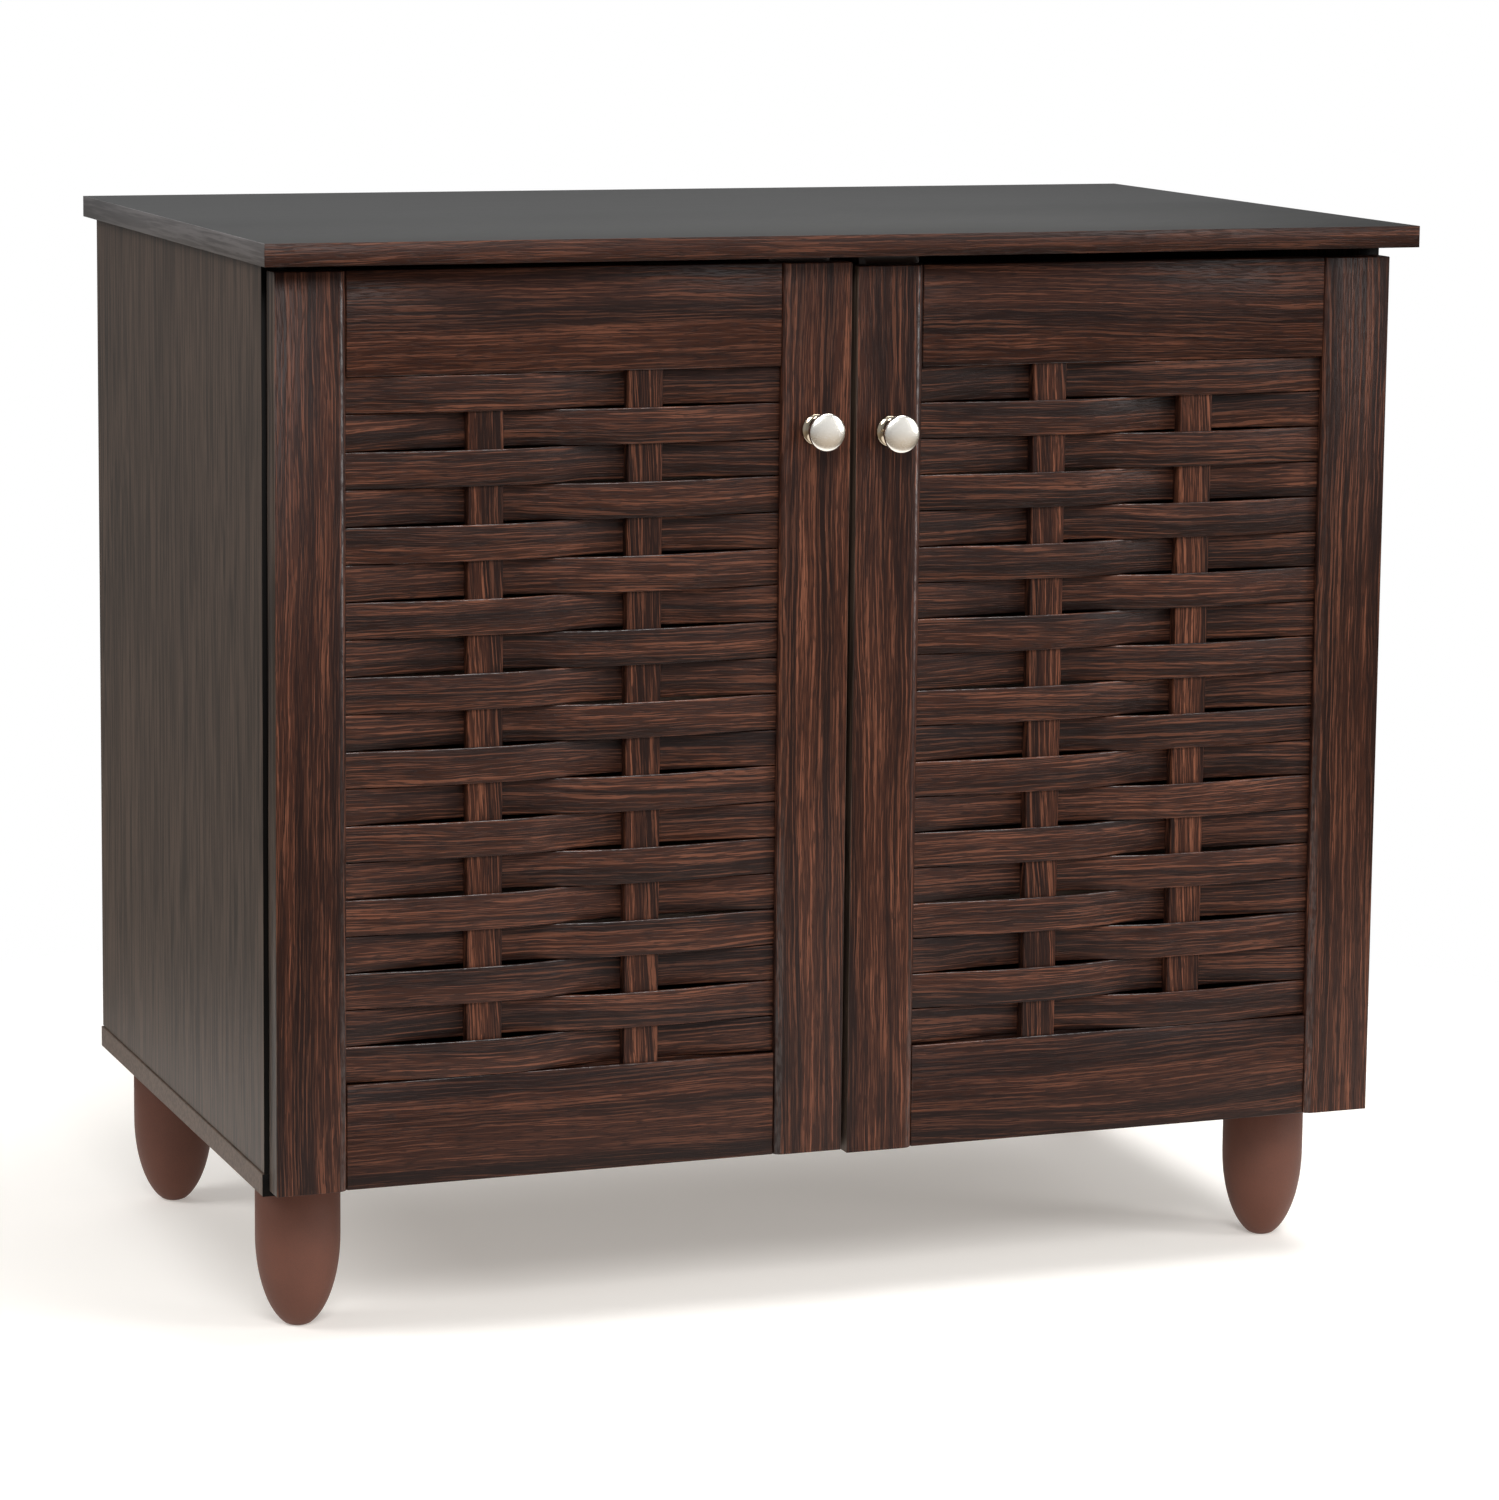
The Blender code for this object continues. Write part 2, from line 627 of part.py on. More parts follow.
def make_woven_panel(name, side, pivot):
    """All slats and both strips of a door, joined where they cross."""
    base = door_z(side) + BOTTOM_RAIL_HEIGHT
    strip_height = OPENING_HEIGHT + 2 * (PANEL_GROOVE_DEPTH - FIT_GAP)
    strips = []
    for index, offset in enumerate((-STRIP_SPACING / 2, STRIP_SPACING / 2)):
        centre = (door_x(side, DOOR_WIDTH / 2) + offset, WEAVE_Y, base + OPENING_HEIGHT / 2)
        size = (STRIP_WIDTH, STRIP_THICKNESS, strip_height)
        strips.append(add_box(f"{name}_strip_{index}", size, centre, WEAVE_WOOD))
    slats = bmesh.new()
    for row in range(SLAT_ROWS):
        from_top = SLAT_ROWS - 1 - row
        direction = -side if from_top % 2 == 0 else side
        z = base + (row + 0.5) * SLAT_PITCH
        outline = slat_outline(side, direction)
        slat = add_extrusion(f"{name}_slat", outline, SLAT_PITCH - SLAT_ROW_GAP, 0.0, WEAVE_WOOD)
        slat.data.transform(Matrix.Translation((0, 0, z)))
        slats.from_mesh(slat.data)
        bpy.data.objects.remove(slat, do_unlink=True)
    mesh = bpy.data.meshes.new(f"{name}_door_woven_panel")
    slats.to_mesh(mesh)
    slats.free()
    panel = add_object(f"{name}_door_woven_panel", mesh, (0, 0, 0), WEAVE_WOOD)
    for strip in strips:
        combine(panel, strip, "UNION")
    apply_place(panel, pivot)


def knob_profile():
    """A flange on the door, a waisted neck and a shallow domed cap; the screw's hole is behind."""
    bore = KNOB_SCREW_RADIUS + KNOB_SCREW_CLEARANCE
    bore_end = KNOB_SCREW_REACH + KNOB_SCREW_CLEARANCE
    cap_top = KNOB_PROJECTION - KNOB_DOME_HEIGHT
    cap_base = cap_top - KNOB_CAP_EDGE
    cap_rim = KNOB_CAP_RADIUS - KNOB_RIM_ROUND
    flange_rim = KNOB_FLANGE_RADIUS - KNOB_RIM_ROUND
    dome = ellipse_arc((0, cap_top), (KNOB_CAP_RADIUS, KNOB_DOME_HEIGHT), 90, 0, DOME_ARC_STEPS)
    neck = []
    for i in range(1, KNOB_NECK_STEPS):
        share = i / KNOB_NECK_STEPS
        waist = math.sin(math.pi * share) ** KNOB_WAIST_POWER
        rim = cap_rim + (flange_rim - cap_rim) * share
        height = cap_base + (KNOB_FLANGE_EDGE - cap_base) * share
        neck.append((rim + (KNOB_NECK_RADIUS - rim) * waist, height))
    return [
        *dome,
        (KNOB_CAP_RADIUS, cap_base + KNOB_RIM_ROUND),
        (cap_rim, cap_base),
        *neck,
        (flange_rim, KNOB_FLANGE_EDGE),
        (KNOB_FLANGE_RADIUS, KNOB_FLANGE_EDGE - KNOB_RIM_ROUND),
        (KNOB_FLANGE_RADIUS, FIT_GAP),
        (bore, FIT_GAP),
        (bore, bore_end),
        (0.0, bore_end),
    ]


def make_knob(name, side, pivot):
    facing_front = (math.pi / 2, 0, 0)
    x = door_x(side, DOOR_WIDTH - KNOB_EDGE_INSET)
    z = knob_z(side)
    seat = (x, DOOR_FRONT_Y, z)
    knob = add_turned(f"{name}_knob", knob_profile(), seat, SATIN_NICKEL, ROUND_STEPS, facing_front)
    length = DOOR_THICKNESS + FIT_GAP + KNOB_SCREW_REACH
    head = ellipse_arc((0, 0), (KNOB_SCREW_HEAD_RADIUS, -KNOB_SCREW_HEAD_HEIGHT), 0, 90, SCREW_HEAD_ARC_STEPS)
    profile = [
        (0.0, length),
        (KNOB_SCREW_RADIUS, length),
        (KNOB_SCREW_RADIUS, 0.0),
        *head,
    ]
    seat = (x, DOOR_BACK_Y + FIT_GAP, z)
    screw = add_turned(f"{name}_knob_screw", profile, seat, HINGE_STEEL, SMALL_ROUND_STEPS, facing_front)
    for obj in (knob, screw):
        apply_place(obj, pivot)


# --- Concealed hinges ---------------------------------------------------------------


def cup_profile():
    """A shallow drilled-in cup, open to the back, with a thin round flange."""
    outer = CUP_RADIUS
    inner = CUP_RADIUS - CUP_WALL
    lip = FIT_GAP + CUP_FLANGE_THICKNESS
    return [
        (0.0, CUP_WALL - CUP_DEPTH),
        (inner, CUP_WALL - CUP_DEPTH),
        (inner, lip),
        (outer + CUP_FLANGE_LIP, lip),
        (outer + CUP_FLANGE_LIP, FIT_GAP),
        (outer, FIT_GAP),
        (outer, -CUP_DEPTH),
        (0.0, -CUP_DEPTH),
    ]


def make_hinge_cup(name, side, place, z, pivot):
    centre = (door_x(side, CUP_CENTRE_INSET), DOOR_BACK_Y, z)
    cup = add_turned(
        f"{name}_hinge_cup_{place}", cup_profile(), centre, HINGE_STEEL, ROUND_STEPS, (-math.pi / 2, 0, 0)
    )
    flange_y = DOOR_BACK_Y + FIT_GAP + CUP_FLANGE_THICKNESS / 2
    for end in (-1, 1):
        ear_z = z + end * (CUP_RADIUS + CUP_EAR_REACH / 2)
        size = (CUP_EAR_WIDTH, CUP_FLANGE_THICKNESS, CUP_EAR_REACH)
        ear = add_box(f"cup_ear_{name}_{place}_{end}", size, (centre[0], flange_y, ear_z), HINGE_STEEL)
        combine(cup, ear, "UNION")
    apply_place(cup, pivot)


def make_hinge_pin(name, side, place, z, pivot):
    """The pin spans the cup from wall to wall, along the door's axis."""
    reach = CUP_RADIUS - CUP_WALL
    offset = CUP_CENTRE_INSET - HINGE_AXIS_INSET + HINGE_PIN_RADIUS
    length = 2 * (math.sqrt(reach * reach - offset * offset) - 2 * FIT_GAP)
    centre = (door_x(side, HINGE_AXIS_INSET), HINGE_AXIS_Y, z)
    pin = add_cylinder(
        f"{name}_hinge_pin_{place}", HINGE_PIN_RADIUS, length, centre, HINGE_STEEL, SMALL_ROUND_STEPS
    )
    apply_place(pin, pivot)


def neck_line():
    """Middle of the goose-neck, from its eye along the cup's floor and out of the cup's mouth to the arm."""
    wall = CUP_CENTRE_INSET + CUP_RADIUS - CUP_WALL
    bend = NECK_BEND_RADIUS
    far = wall - NECK_CUP_CLEARANCE
    level = HINGE_AXIS_Y
    arm_front = FRONT_Y + ARM_FRONT_SETBACK
    arm_middle = SIDE_THICKNESS - DOOR_SIDE_REVEAL + FIT_GAP + ARM_HEIGHT - NECK_THICKNESS / 2
    rise = ellipse_arc((far - bend, level + bend), (bend, bend), -90, 0, NECK_ARC_STEPS)
    top = arm_front + NECK_THICKNESS / 2
    back = ellipse_arc((far - bend, top - bend), (bend, bend), 0, 90, NECK_ARC_STEPS)
    start = HINGE_AXIS_INSET + (HINGE_PIN_RADIUS + HINGE_EYE_RADIUS) / 2
    return [(start, level), *rise, *back, (arm_middle, top)]


def thicken(line, thickness):
    """Outline of a strip of even thickness along a line of points."""
    left, right = [], []
    for i, (x, y) in enumerate(line):
        before = line[max(i - 1, 0)]
        after = line[min(i + 1, len(line) - 1)]
        dx, dy = after[0] - before[0], after[1] - before[1]
        length = math.hypot(dx, dy)
        nx, ny = -dy / length * thickness / 2, dx / length * thickness / 2
        left.append((x + nx, y + ny))
        right.append((x - nx, y - ny))
    return left + right[::-1]


def make_hinge_arm(name, side, place, z):
    """Arm on a mounting plate inside the side panel, with a goose-neck that ends in the pin's eye."""
    base = SIDE_THICKNESS - DOOR_SIDE_REVEAL + FIT_GAP
    front = FRONT_Y + ARM_FRONT_SETBACK
    body = [
        (base, front),
        (base + ARM_HEIGHT, front),
        (base + ARM_HEIGHT, front + ARM_LENGTH - ARM_HEIGHT),
        (base + PLATE_THICKNESS, front + ARM_LENGTH),
        (base, front + ARM_LENGTH),
    ]
    outline = [(door_x(side, inset), y) for inset, y in body]
    arm = add_extrusion(f"{name}_hinge_arm_{place}", outline, ARM_WIDTH, z, HINGE_STEEL)
    neck_outline = [(door_x(side, inset), y) for inset, y in thicken(neck_line(), NECK_THICKNESS)]
    neck = add_extrusion(f"neck_{name}_{place}", neck_outline, NECK_WIDTH, z, HINGE_STEEL)
    combine(arm, neck, "UNION")
    axis = (door_x(side, HINGE_AXIS_INSET), HINGE_AXIS_Y, z)
    eye = add_cylinder(
        f"eye_{name}_{place}", HINGE_EYE_RADIUS, NECK_WIDTH + FIT_GAP, axis, HINGE_STEEL, SMALL_ROUND_STEPS
    )
    combine(arm, eye, "UNION")
    plate_size = (PLATE_THICKNESS, PLATE_LENGTH, PLATE_WIDTH)
    plate_x = door_x(side, base + PLATE_THICKNESS / 2)
    plate_y = front + ARM_LENGTH - PLATE_BACK_SETBACK - PLATE_LENGTH / 2
    plate = add_box(f"plate_{name}_{place}", plate_size, (plate_x, plate_y, z), HINGE_STEEL)
    combine(arm, plate, "UNION")
    hole = add_hole(
        f"eye_hole_{name}_{place}",
        HINGE_PIN_RADIUS + HINGE_PIN_CLEARANCE,
        2 * NECK_WIDTH,
        axis,
        SMALL_ROUND_STEPS,
    )
    combine(arm, hole)


# --- Magnetic catches ---------------------------------------------------------------


def make_catch(name, side, pivot):
    """A magnetic catch under the top panel, and its steel strike on the door's back."""
    x = door_x(side, DOOR_WIDTH - CATCH_CENTRE_INSET)
    strike_size = (STRIKE_WIDTH, STRIKE_THICKNESS, STRIKE_HEIGHT)
    strike_y = DOOR_BACK_Y + FIT_GAP + STRIKE_THICKNESS / 2
    strike_z = door_z(side) + DOOR_HEIGHT - STRIKE_TOP_INSET
    strike = add_box(f"{name}_door_strike", strike_size, (x, strike_y, strike_z), HINGE_STEEL)
    apply_place(strike, pivot)
    catch_size = (CATCH_LENGTH, CATCH_DEPTH, CATCH_HEIGHT)
    catch_y = strike_y + STRIKE_THICKNESS / 2 + FIT_GAP + CATCH_DEPTH / 2
    catch_z = TOP_Z - FIT_GAP - CATCH_HEIGHT / 2
    add_box(f"magnetic_catch_{name}", catch_size, (x, catch_y, catch_z), CATCH_PLASTIC, PANEL_BEVEL)


def make_door(name, side):
    pivot = bpy.data.objects.new(f"{name}_door_axis", None)
    pivot.location = (door_x(side, HINGE_AXIS_INSET), HINGE_AXIS_Y, door_z(side) + DOOR_HEIGHT / 2)
    CABINET.objects.link(pivot)
    make_stiles(name, side, pivot)
    make_rails(name, side, pivot)
    make_woven_panel(name, side, pivot)
    make_knob(name, side, pivot)
    make_catch(name, side, pivot)
    for place, z in hinge_zs(side).items():
        make_hinge_cup(name, side, place, z, pivot)
        make_hinge_pin(name, side, place, z, pivot)
        make_hinge_arm(name, side, place, z)


def main():
    make_top_panel()
    make_bottom_panel()
    make_back_panel()
    make_shelves()
    make_shelf_pins()
    make_feet()
    make_foot_bolts()
    for name, side in SIDES.items():
        make_side_panel(name, side)
        make_door(name, side)


main()
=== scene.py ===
"""Shoe cabinet: dark wood-grain finishes, woven doors, turned knobs and feet, hinges and catches."""

import math

import bmesh
import bpy
from mathutils import Matrix, Vector


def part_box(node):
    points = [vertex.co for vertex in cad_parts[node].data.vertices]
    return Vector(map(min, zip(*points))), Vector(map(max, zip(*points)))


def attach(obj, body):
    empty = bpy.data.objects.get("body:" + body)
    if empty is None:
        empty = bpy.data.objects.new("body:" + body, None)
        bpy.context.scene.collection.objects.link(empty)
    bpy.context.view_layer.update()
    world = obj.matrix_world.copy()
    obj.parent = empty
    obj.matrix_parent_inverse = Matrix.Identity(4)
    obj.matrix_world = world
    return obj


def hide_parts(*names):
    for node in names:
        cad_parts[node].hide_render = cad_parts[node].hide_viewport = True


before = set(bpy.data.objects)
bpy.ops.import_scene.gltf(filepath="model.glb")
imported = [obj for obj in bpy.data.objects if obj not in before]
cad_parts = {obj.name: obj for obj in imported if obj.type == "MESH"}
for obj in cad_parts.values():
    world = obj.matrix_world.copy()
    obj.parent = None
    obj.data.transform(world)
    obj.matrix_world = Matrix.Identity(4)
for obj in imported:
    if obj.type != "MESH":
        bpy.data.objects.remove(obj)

bl_info = {
    "name": "Shoe cabinet finishes",
    "version": (1, 0, 0),
    "blender": (4, 5, 0),
    "location": "3D View > Sidebar > Cabinet",
    "description": "Builds the visible pieces and finishes of a two-door shoe cabinet round its frame",
    "category": "Object",
}

SIDES = {"left": -1, "right": 1}
DOOR_BODIES = {"left": "left_door", "right": "right_door"}
SHELVES = ("lower", "middle", "upper")
HEIGHTS = ("lower", "upper")
CORNERS = ("front_left", "front_right", "back_left", "back_right")
SEAT_GAP = 0.0003  # air between a fitting and the board that it sits on
CUP_RADIUS = 0.0172  # a hinge cup's body, inside its flange
BACKWARD = (0.0, 1.0, 0.0)


# --- Sizes read from the frame -------------------------------------------------------


def span(node):
    """Lowest corner, highest corner and middle of a frame node."""
    low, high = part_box(node)
    return low, high, (low + high) / 2


def door_opening(name):
    """Lowest and highest (x, z) of the opening that the woven panel fills."""
    side = SIDES[name]
    hinge_low, hinge_high, _ = span(f"{name}_door_stile_hinge")
    knob_low, knob_high, _ = span(f"{name}_door_stile_knob")
    left, right = (hinge_high, knob_low) if side < 0 else (knob_high, hinge_low)
    bottom = span(f"{name}_door_rail_bottom")[1].z
    top = span(f"{name}_door_rail_top")[0].z
    return Vector((left.x, bottom)), Vector((right.x, top))


# --- Properties ----------------------------------------------------------------------


def length(name, description, default):
    return bpy.props.FloatProperty(
        name=name, description=description, default=default, unit="LENGTH", precision=4
    )


def tint(name, description, default):
    return bpy.props.FloatVectorProperty(
        name=name, description=description, default=default, subtype="COLOR", size=3
    )


class WeaveSettings(bpy.types.PropertyGroup):
    """Woven panel sizes."""

    rows: bpy.props.IntProperty(name="Rows", description="Slats in one door", default=19, min=1)
    row_gap: length("Row gap", "Air between slats", 0.0006)
    slat_thickness: length("Slat thickness", "Thickness of a slat", 0.0026)
    edge_round: length("Edge round", "Radius of a slat's long edges", 0.0009)
    strip_thickness: length("Strip thickness", "Thickness of an upright strip", 0.0088)
    strip_width: length("Strip width", "Width of an upright strip", 0.024)
    strip_spacing: length("Strip spacing", "Between the strips' middles", 0.109)
    plateau: length("Straight run", "Slat runs straight past a strip's sides", 0.002)
    looseness: bpy.props.FloatProperty(
        name="Looseness", description="How far slats differ from each other", default=1.0,
        subtype="FACTOR",
    )
    seed: bpy.props.IntProperty(name="Seed", description="Picks the slats' differences", default=7)


class DoorSettings(bpy.types.PropertyGroup):
    """Door frame sizes."""

    round_width: length("Rounding width", "Stile's rounded edge, across the face", 0.007)
    round_depth: length("Rounding depth", "Stile's rounded edge, into the door", 0.0045)
    edge: length("Edge", "Softening of a door board's edges", 0.0007)
    groove_width: length("Groove", "Width of the slats' groove", 0.0046)
    groove_depth: length("Groove depth", "Depth of the slats' groove", 0.007)


class HardwareSettings(bpy.types.PropertyGroup):
    """Knobs, hinges and fasteners."""

    knob_steps: bpy.props.IntProperty(
        name="Knob steps", description="Sides of a turned knob", default=96, min=12
    )
    screw_radius: length("Screw head", "Radius of a hinge screw's head", 0.0034)
    nail_radius: length("Nail head", "Radius of a back panel nail's head", 0.0022)
    nail_spacing: length("Nail spacing", "Between the back panel's nails", 0.085)


class FinishSettings(bpy.types.PropertyGroup):
    """Colours of the finishes."""

    wood_dark: tint("Dark grain", "Darkest bands of the door wood", (0.0125, 0.0055, 0.0043))
    wood_mid: tint("Body of the wood", "Middle tone of the door wood", (0.037, 0.0132, 0.0080))
    wood_light: tint("Light grain", "Reddish streaks of the door wood", (0.190, 0.070, 0.038))
    foil_dark: tint("Dark foil", "Dark grain of the carcass foil", (0.022, 0.0145, 0.0105))
    foil_light: tint("Light foil", "Light grain of the carcass foil", (0.125, 0.084, 0.062))
    foot: tint("Feet", "Red-brown of the feet", (0.106, 0.0375, 0.0225))
    nickel: tint("Nickel", "Satin nickel of the knobs", (0.87, 0.83, 0.765))
    steel: tint("Steel", "Bright steel of hinges and screws", (0.62, 0.61, 0.60))


class StageSettings(bpy.types.PropertyGroup):
    """Camera and light."""

    camera_place: bpy.props.FloatVectorProperty(
        name="Camera", description="Where the camera stands", default=(-1.2246, -3.2610, 0.9529),
        subtype="TRANSLATION", size=3,
    )
    yaw: bpy.props.FloatProperty(
        name="Yaw", description="Turn from straight at the back to the right", default=math.radians(20.789),
        subtype="ANGLE",
    )
    pitch: bpy.props.FloatProperty(
        name="Pitch", description="Tilt down", default=math.radians(8.139), subtype="ANGLE"
    )
    roll: bpy.props.FloatProperty(
        name="Roll", description="Turn about the view line", default=math.radians(0.606), subtype="ANGLE"
    )
    lens: bpy.props.FloatProperty(
        name="Lens", description="Focal length", default=119.29, subtype="DISTANCE_CAMERA"
    )
    rise: bpy.props.FloatProperty(name="Rise", description="Vertical shift", default=-0.1)
    floor_colour: tint("Floor", "Pale floor", (0.84, 0.815, 0.78))


SETTINGS = {
    "cabinet_weave": WeaveSettings,
    "cabinet_door": DoorSettings,
    "cabinet_hardware": HardwareSettings,
    "cabinet_finish": FinishSettings,
    "cabinet_stage": StageSettings,
}


# --- Node trees as expressions -------------------------------------------------------


class Wire:
    """A node's output. Sums, products and comparisons of wires add Math nodes."""

    def __init__(self, board, socket):
        self.board, self.socket = board, socket

    def maths(self, operation, *values):
        return self.board.node("ShaderNodeMath", {"operation": operation}, values)

    def __add__(self, other):
        return self.maths("ADD", self, other)

    def __radd__(self, other):
        return self.maths("ADD", other, self)

    def __sub__(self, other):
        return self.maths("SUBTRACT", self, other)

    def __rsub__(self, other):
        return self.maths("SUBTRACT", other, self)

    def __mul__(self, other):
        return self.maths("MULTIPLY", self, other)

    def __rmul__(self, other):
        return self.maths("MULTIPLY", other, self)

    def __truediv__(self, other):
        return self.maths("DIVIDE", self, other)

    def __rtruediv__(self, other):
        return self.maths("DIVIDE", other, self)

    def __pow__(self, other):
        return self.maths("POWER", self, other)

    def __mod__(self, other):
        return self.maths("FLOORED_MODULO", self, other)

    def alone(self, operation):
        return self.maths(operation, self)

    def __neg__(self):
        return self.maths("MULTIPLY", self, -1.0)

    def __abs__(self):
        return self.alone("ABSOLUTE")

    def __lt__(self, other):
        return self.maths("LESS_THAN", self, other)

    def __gt__(self, other):
        return self.maths("GREATER_THAN", self, other)


class Board:
    """A node tree that is being built."""

    def __init__(self, tree):
        self.tree = tree

    def node(self, kind, settings=None, sockets=(), output=0):
        """Adds a node: its settings first, then the values or wires of its sockets. Returns one output."""
        made = self.tree.nodes.new(kind)
        for name, value in (settings or {}).items():
            setattr(made, name, value)
        items = sockets.items() if isinstance(sockets, dict) else enumerate(sockets)
        for key, value in items:
            if isinstance(value, Wire):
                self.tree.links.new(value.socket, made.inputs[key])
            elif value is not None:
                made.inputs[key].default_value = value
        return Wire(self, made.outputs[output]) if len(made.outputs) else made

    def vector(self, x, y, z):
        return self.node("ShaderNodeCombineXYZ", {}, (x, y, z))

    def parts(self, vector):
        """x, y and z of a vector."""
        first = self.node("ShaderNodeSeparateXYZ", {}, (vector,))
        return [Wire(self, socket) for socket in first.socket.node.outputs]

    def noise(self, vector, scale, detail=2.0, roughness=0.5):
        sockets = {"Vector": vector, "Scale": scale, "Detail": detail, "Roughness": roughness}
        return self.node("ShaderNodeTexNoise", {}, sockets)

    def stretched(self, place, scales, detail=2.0, roughness=0.5):
        """Noise with its own scale along each of three coordinates."""
        x, y, z = (part * scale for part, scale in zip(place, scales))
        return self.noise(self.vector(x, y, z), 1.0, detail, roughness)

    def object_place(self):
        return self.node("ShaderNodeTexCoord", {}, (), output=3)

    def attribute(self, name):
        """A number that a piece's mesh holds at each point."""
        return self.node("ShaderNodeAttribute", {"attribute_name": name}, (), output=2)

    def step(self, value, low, high, to_low=0.0, to_high=1.0):
        """Smooth change from to_low to to_high while the value goes from low to high."""
        settings = {"interpolation_type": "SMOOTHSTEP"}
        return self.node("ShaderNodeMapRange", settings, (value, low, high, to_low, to_high))

    def blend(self, factor, first, second):
        """Mix of two colours."""
        sockets = {0: factor, 6: colour(first), 7: colour(second)}
        return self.node("ShaderNodeMix", {"data_type": "RGBA"}, sockets, output=2)


def colour(value):
    return value if isinstance(value, Wire) else (*value, 1.0)


def scaled(tone, share):
    return [channel * share for channel in tone]


# --- Materials -----------------------------------------------------------------------


def new_material(name, constants):
    """A material whose Principled shader has these constant socket values."""
    material = bpy.data.materials.new(name)
    material.use_nodes = True
    material.node_tree.nodes.clear()
    board = Board(material.node_tree)
    shader = material.node_tree.nodes.new("ShaderNodeBsdfPrincipled")
    for socket, value in constants.items():
        shader.inputs[socket].default_value = value
    output = material.node_tree.nodes.new("ShaderNodeOutputMaterial")
    material.node_tree.links.new(shader.outputs[0], output.inputs[0])
    return material, board, shader


def plug(board, shader, sockets):
    for name, wire in sockets.items():
        board.tree.links.new(wire.socket, shader.inputs[name])


def place_along(board, grain):
    """Metres along the grain, across it on the face, and into the board, moved on for each board."""
    x, y, z = board.parts(board.object_place())
    figure = board.attribute("figure")
    along, across, depth = {"X": (x, z, y), "Z": (z, x, y), "Y": (y, x, z)}[grain]
    return along + figure * 3.7, across + figure * 0.61, depth + figure * 0.23, figure


def bumped(board, shader, height, strength, distance):
    """Feeds a height into the shader's normal."""
    sockets = {"Strength": strength, "Distance": distance, "Height": height}
    plug(board, shader, {"Normal": board.node("ShaderNodeBump", {}, sockets)})


def make_wood(name, grain, colours, streaks, slant=0.0, brightness=1.0, gloss=0.12, depth_share=1.0):
    """Espresso wood: bands and lines from growth rings, reddish fibres, dark pores, polished edges."""
    constants = {"Specular IOR Level": gloss, "Coat Roughness": 0.22}
    material, board, shader = new_material(name, constants)
    along, across, depth, figure = place_along(board, grain)
    across, depth = across + along * slant, depth * depth_share
    drift = board.stretched((along, across, depth), (2.6, 10.0, 10.0)) - 0.5
    ripple = board.stretched((along, across, depth), (30.0, 60.0, 60.0)) - 0.5
    across = across + drift * 0.022 + ripple * 0.0022
    place = (along, across, depth)
    ring = (across * across + (along * 0.045 + depth + drift * 0.02 + 0.012) ** 2.0) ** 0.5
    rings = board.stretched((ring, along, figure), (150.0, 0.9, 11.0), 2.0, 0.55)
    bands = board.stretched((across, along, figure), (60.0, 1.4, 5.0))
    shade = board.step(rings * 0.45 + bands * 0.55, 0.41, 0.58)
    line = board.step(board.stretched((ring, along, figure), (600.0, 5.0, 7.0), 1.0), 0.60, 0.66)
    fibre = board.step(board.stretched(place, (11.0, 560.0, 560.0), 1.0, 0.6), 0.585, 0.645)
    hair = board.step(board.stretched(place, (34.0, 1200.0, 1200.0), 1.0), 0.54, 0.62)
    pore = board.step(board.stretched(place, (80.0, 1250.0, 1250.0), 1.0), 0.54, 0.62)
    worn = board.stretched(place, (150.0, 500.0, 500.0), 2.0, 0.6)
    tones = (colours.wood_dark, colours.wood_mid, colours.wood_light)
    dark, middle, light = (scaled(tone, brightness) for tone in tones)
    body = board.blend(shade, dark, middle)
    body = board.blend(fibre * (shade * 0.40 + 0.26) * streaks, body, light)
    body = board.blend(hair * (shade * 0.22 + 0.10) * streaks, body, light)
    body = board.blend(line * 0.42 * streaks, body, light)
    body = board.blend(pore * 0.65, body, dark)
    coat = board.attribute("edge") * board.step(worn, 0.42, 0.56, 0.25, 1.0)
    roughness = 0.34 + fibre * 0.08 + pore * 0.1
    plug(board, shader, {"Base Color": body, "Roughness": roughness, "Coat Weight": coat})
    bumped(board, shader, fibre * 0.5 + hair * 0.5 - pore * 0.8, 0.5, 0.0002)


def make_foil(name, grain, dark, light, roughness, specular):
    """Printed carcass foil: faint, wide grain under a satin sheen."""
    material, board, shader = new_material(name, {"Specular IOR Level": specular})
    along, across, depth, figure = place_along(board, grain)
    drift = board.stretched((along, across, depth), (1.6, 6.0, 6.0)) - 0.5
    across = across + drift * 0.03
    bands = board.stretched((across, along, figure), (26.0, 0.8, 9.0), 3.0, 0.55)
    fibres = board.stretched((along, across, depth), (9.0, 420.0, 420.0), 2.0, 0.6)
    dashes = board.stretched((along, across, depth), (60.0, 1500.0, 1500.0), 1.0)
    tone = board.step(bands, 0.38, 0.62) * 0.5 + board.step(fibres, 0.40, 0.60) * 0.5
    body = board.blend(tone, dark, light)
    body = board.blend(board.step(dashes, 0.60, 0.70) * 0.4, body, dark)
    plug(board, shader, {"Base Color": body, "Roughness": roughness + fibres * 0.08})
    bumped(board, shader, fibres * 0.6 + dashes * 0.4, 0.25, 0.00012)


def make_foot_plastic(tone):
    """Red-brown plastic with a fine spark-eroded texture."""
    material, board, shader = new_material("foot_plastic_textured", {"Specular IOR Level": 0.3})
    place = board.object_place()
    grit = board.noise(place, 2100.0, 2.0, 0.7)
    cloud = board.noise(place, 24.0, 3.0, 0.6)
    mottle = board.step(cloud * 0.35 + grit * 0.65, 0.34, 0.66)
    body = board.blend(mottle, scaled(tone, 0.82), scaled(tone, 1.14))
    plug(board, shader, {"Base Color": body, "Roughness": 0.5 + grit * 0.16})
    bumped(board, shader, grit, 0.5, 0.00022)


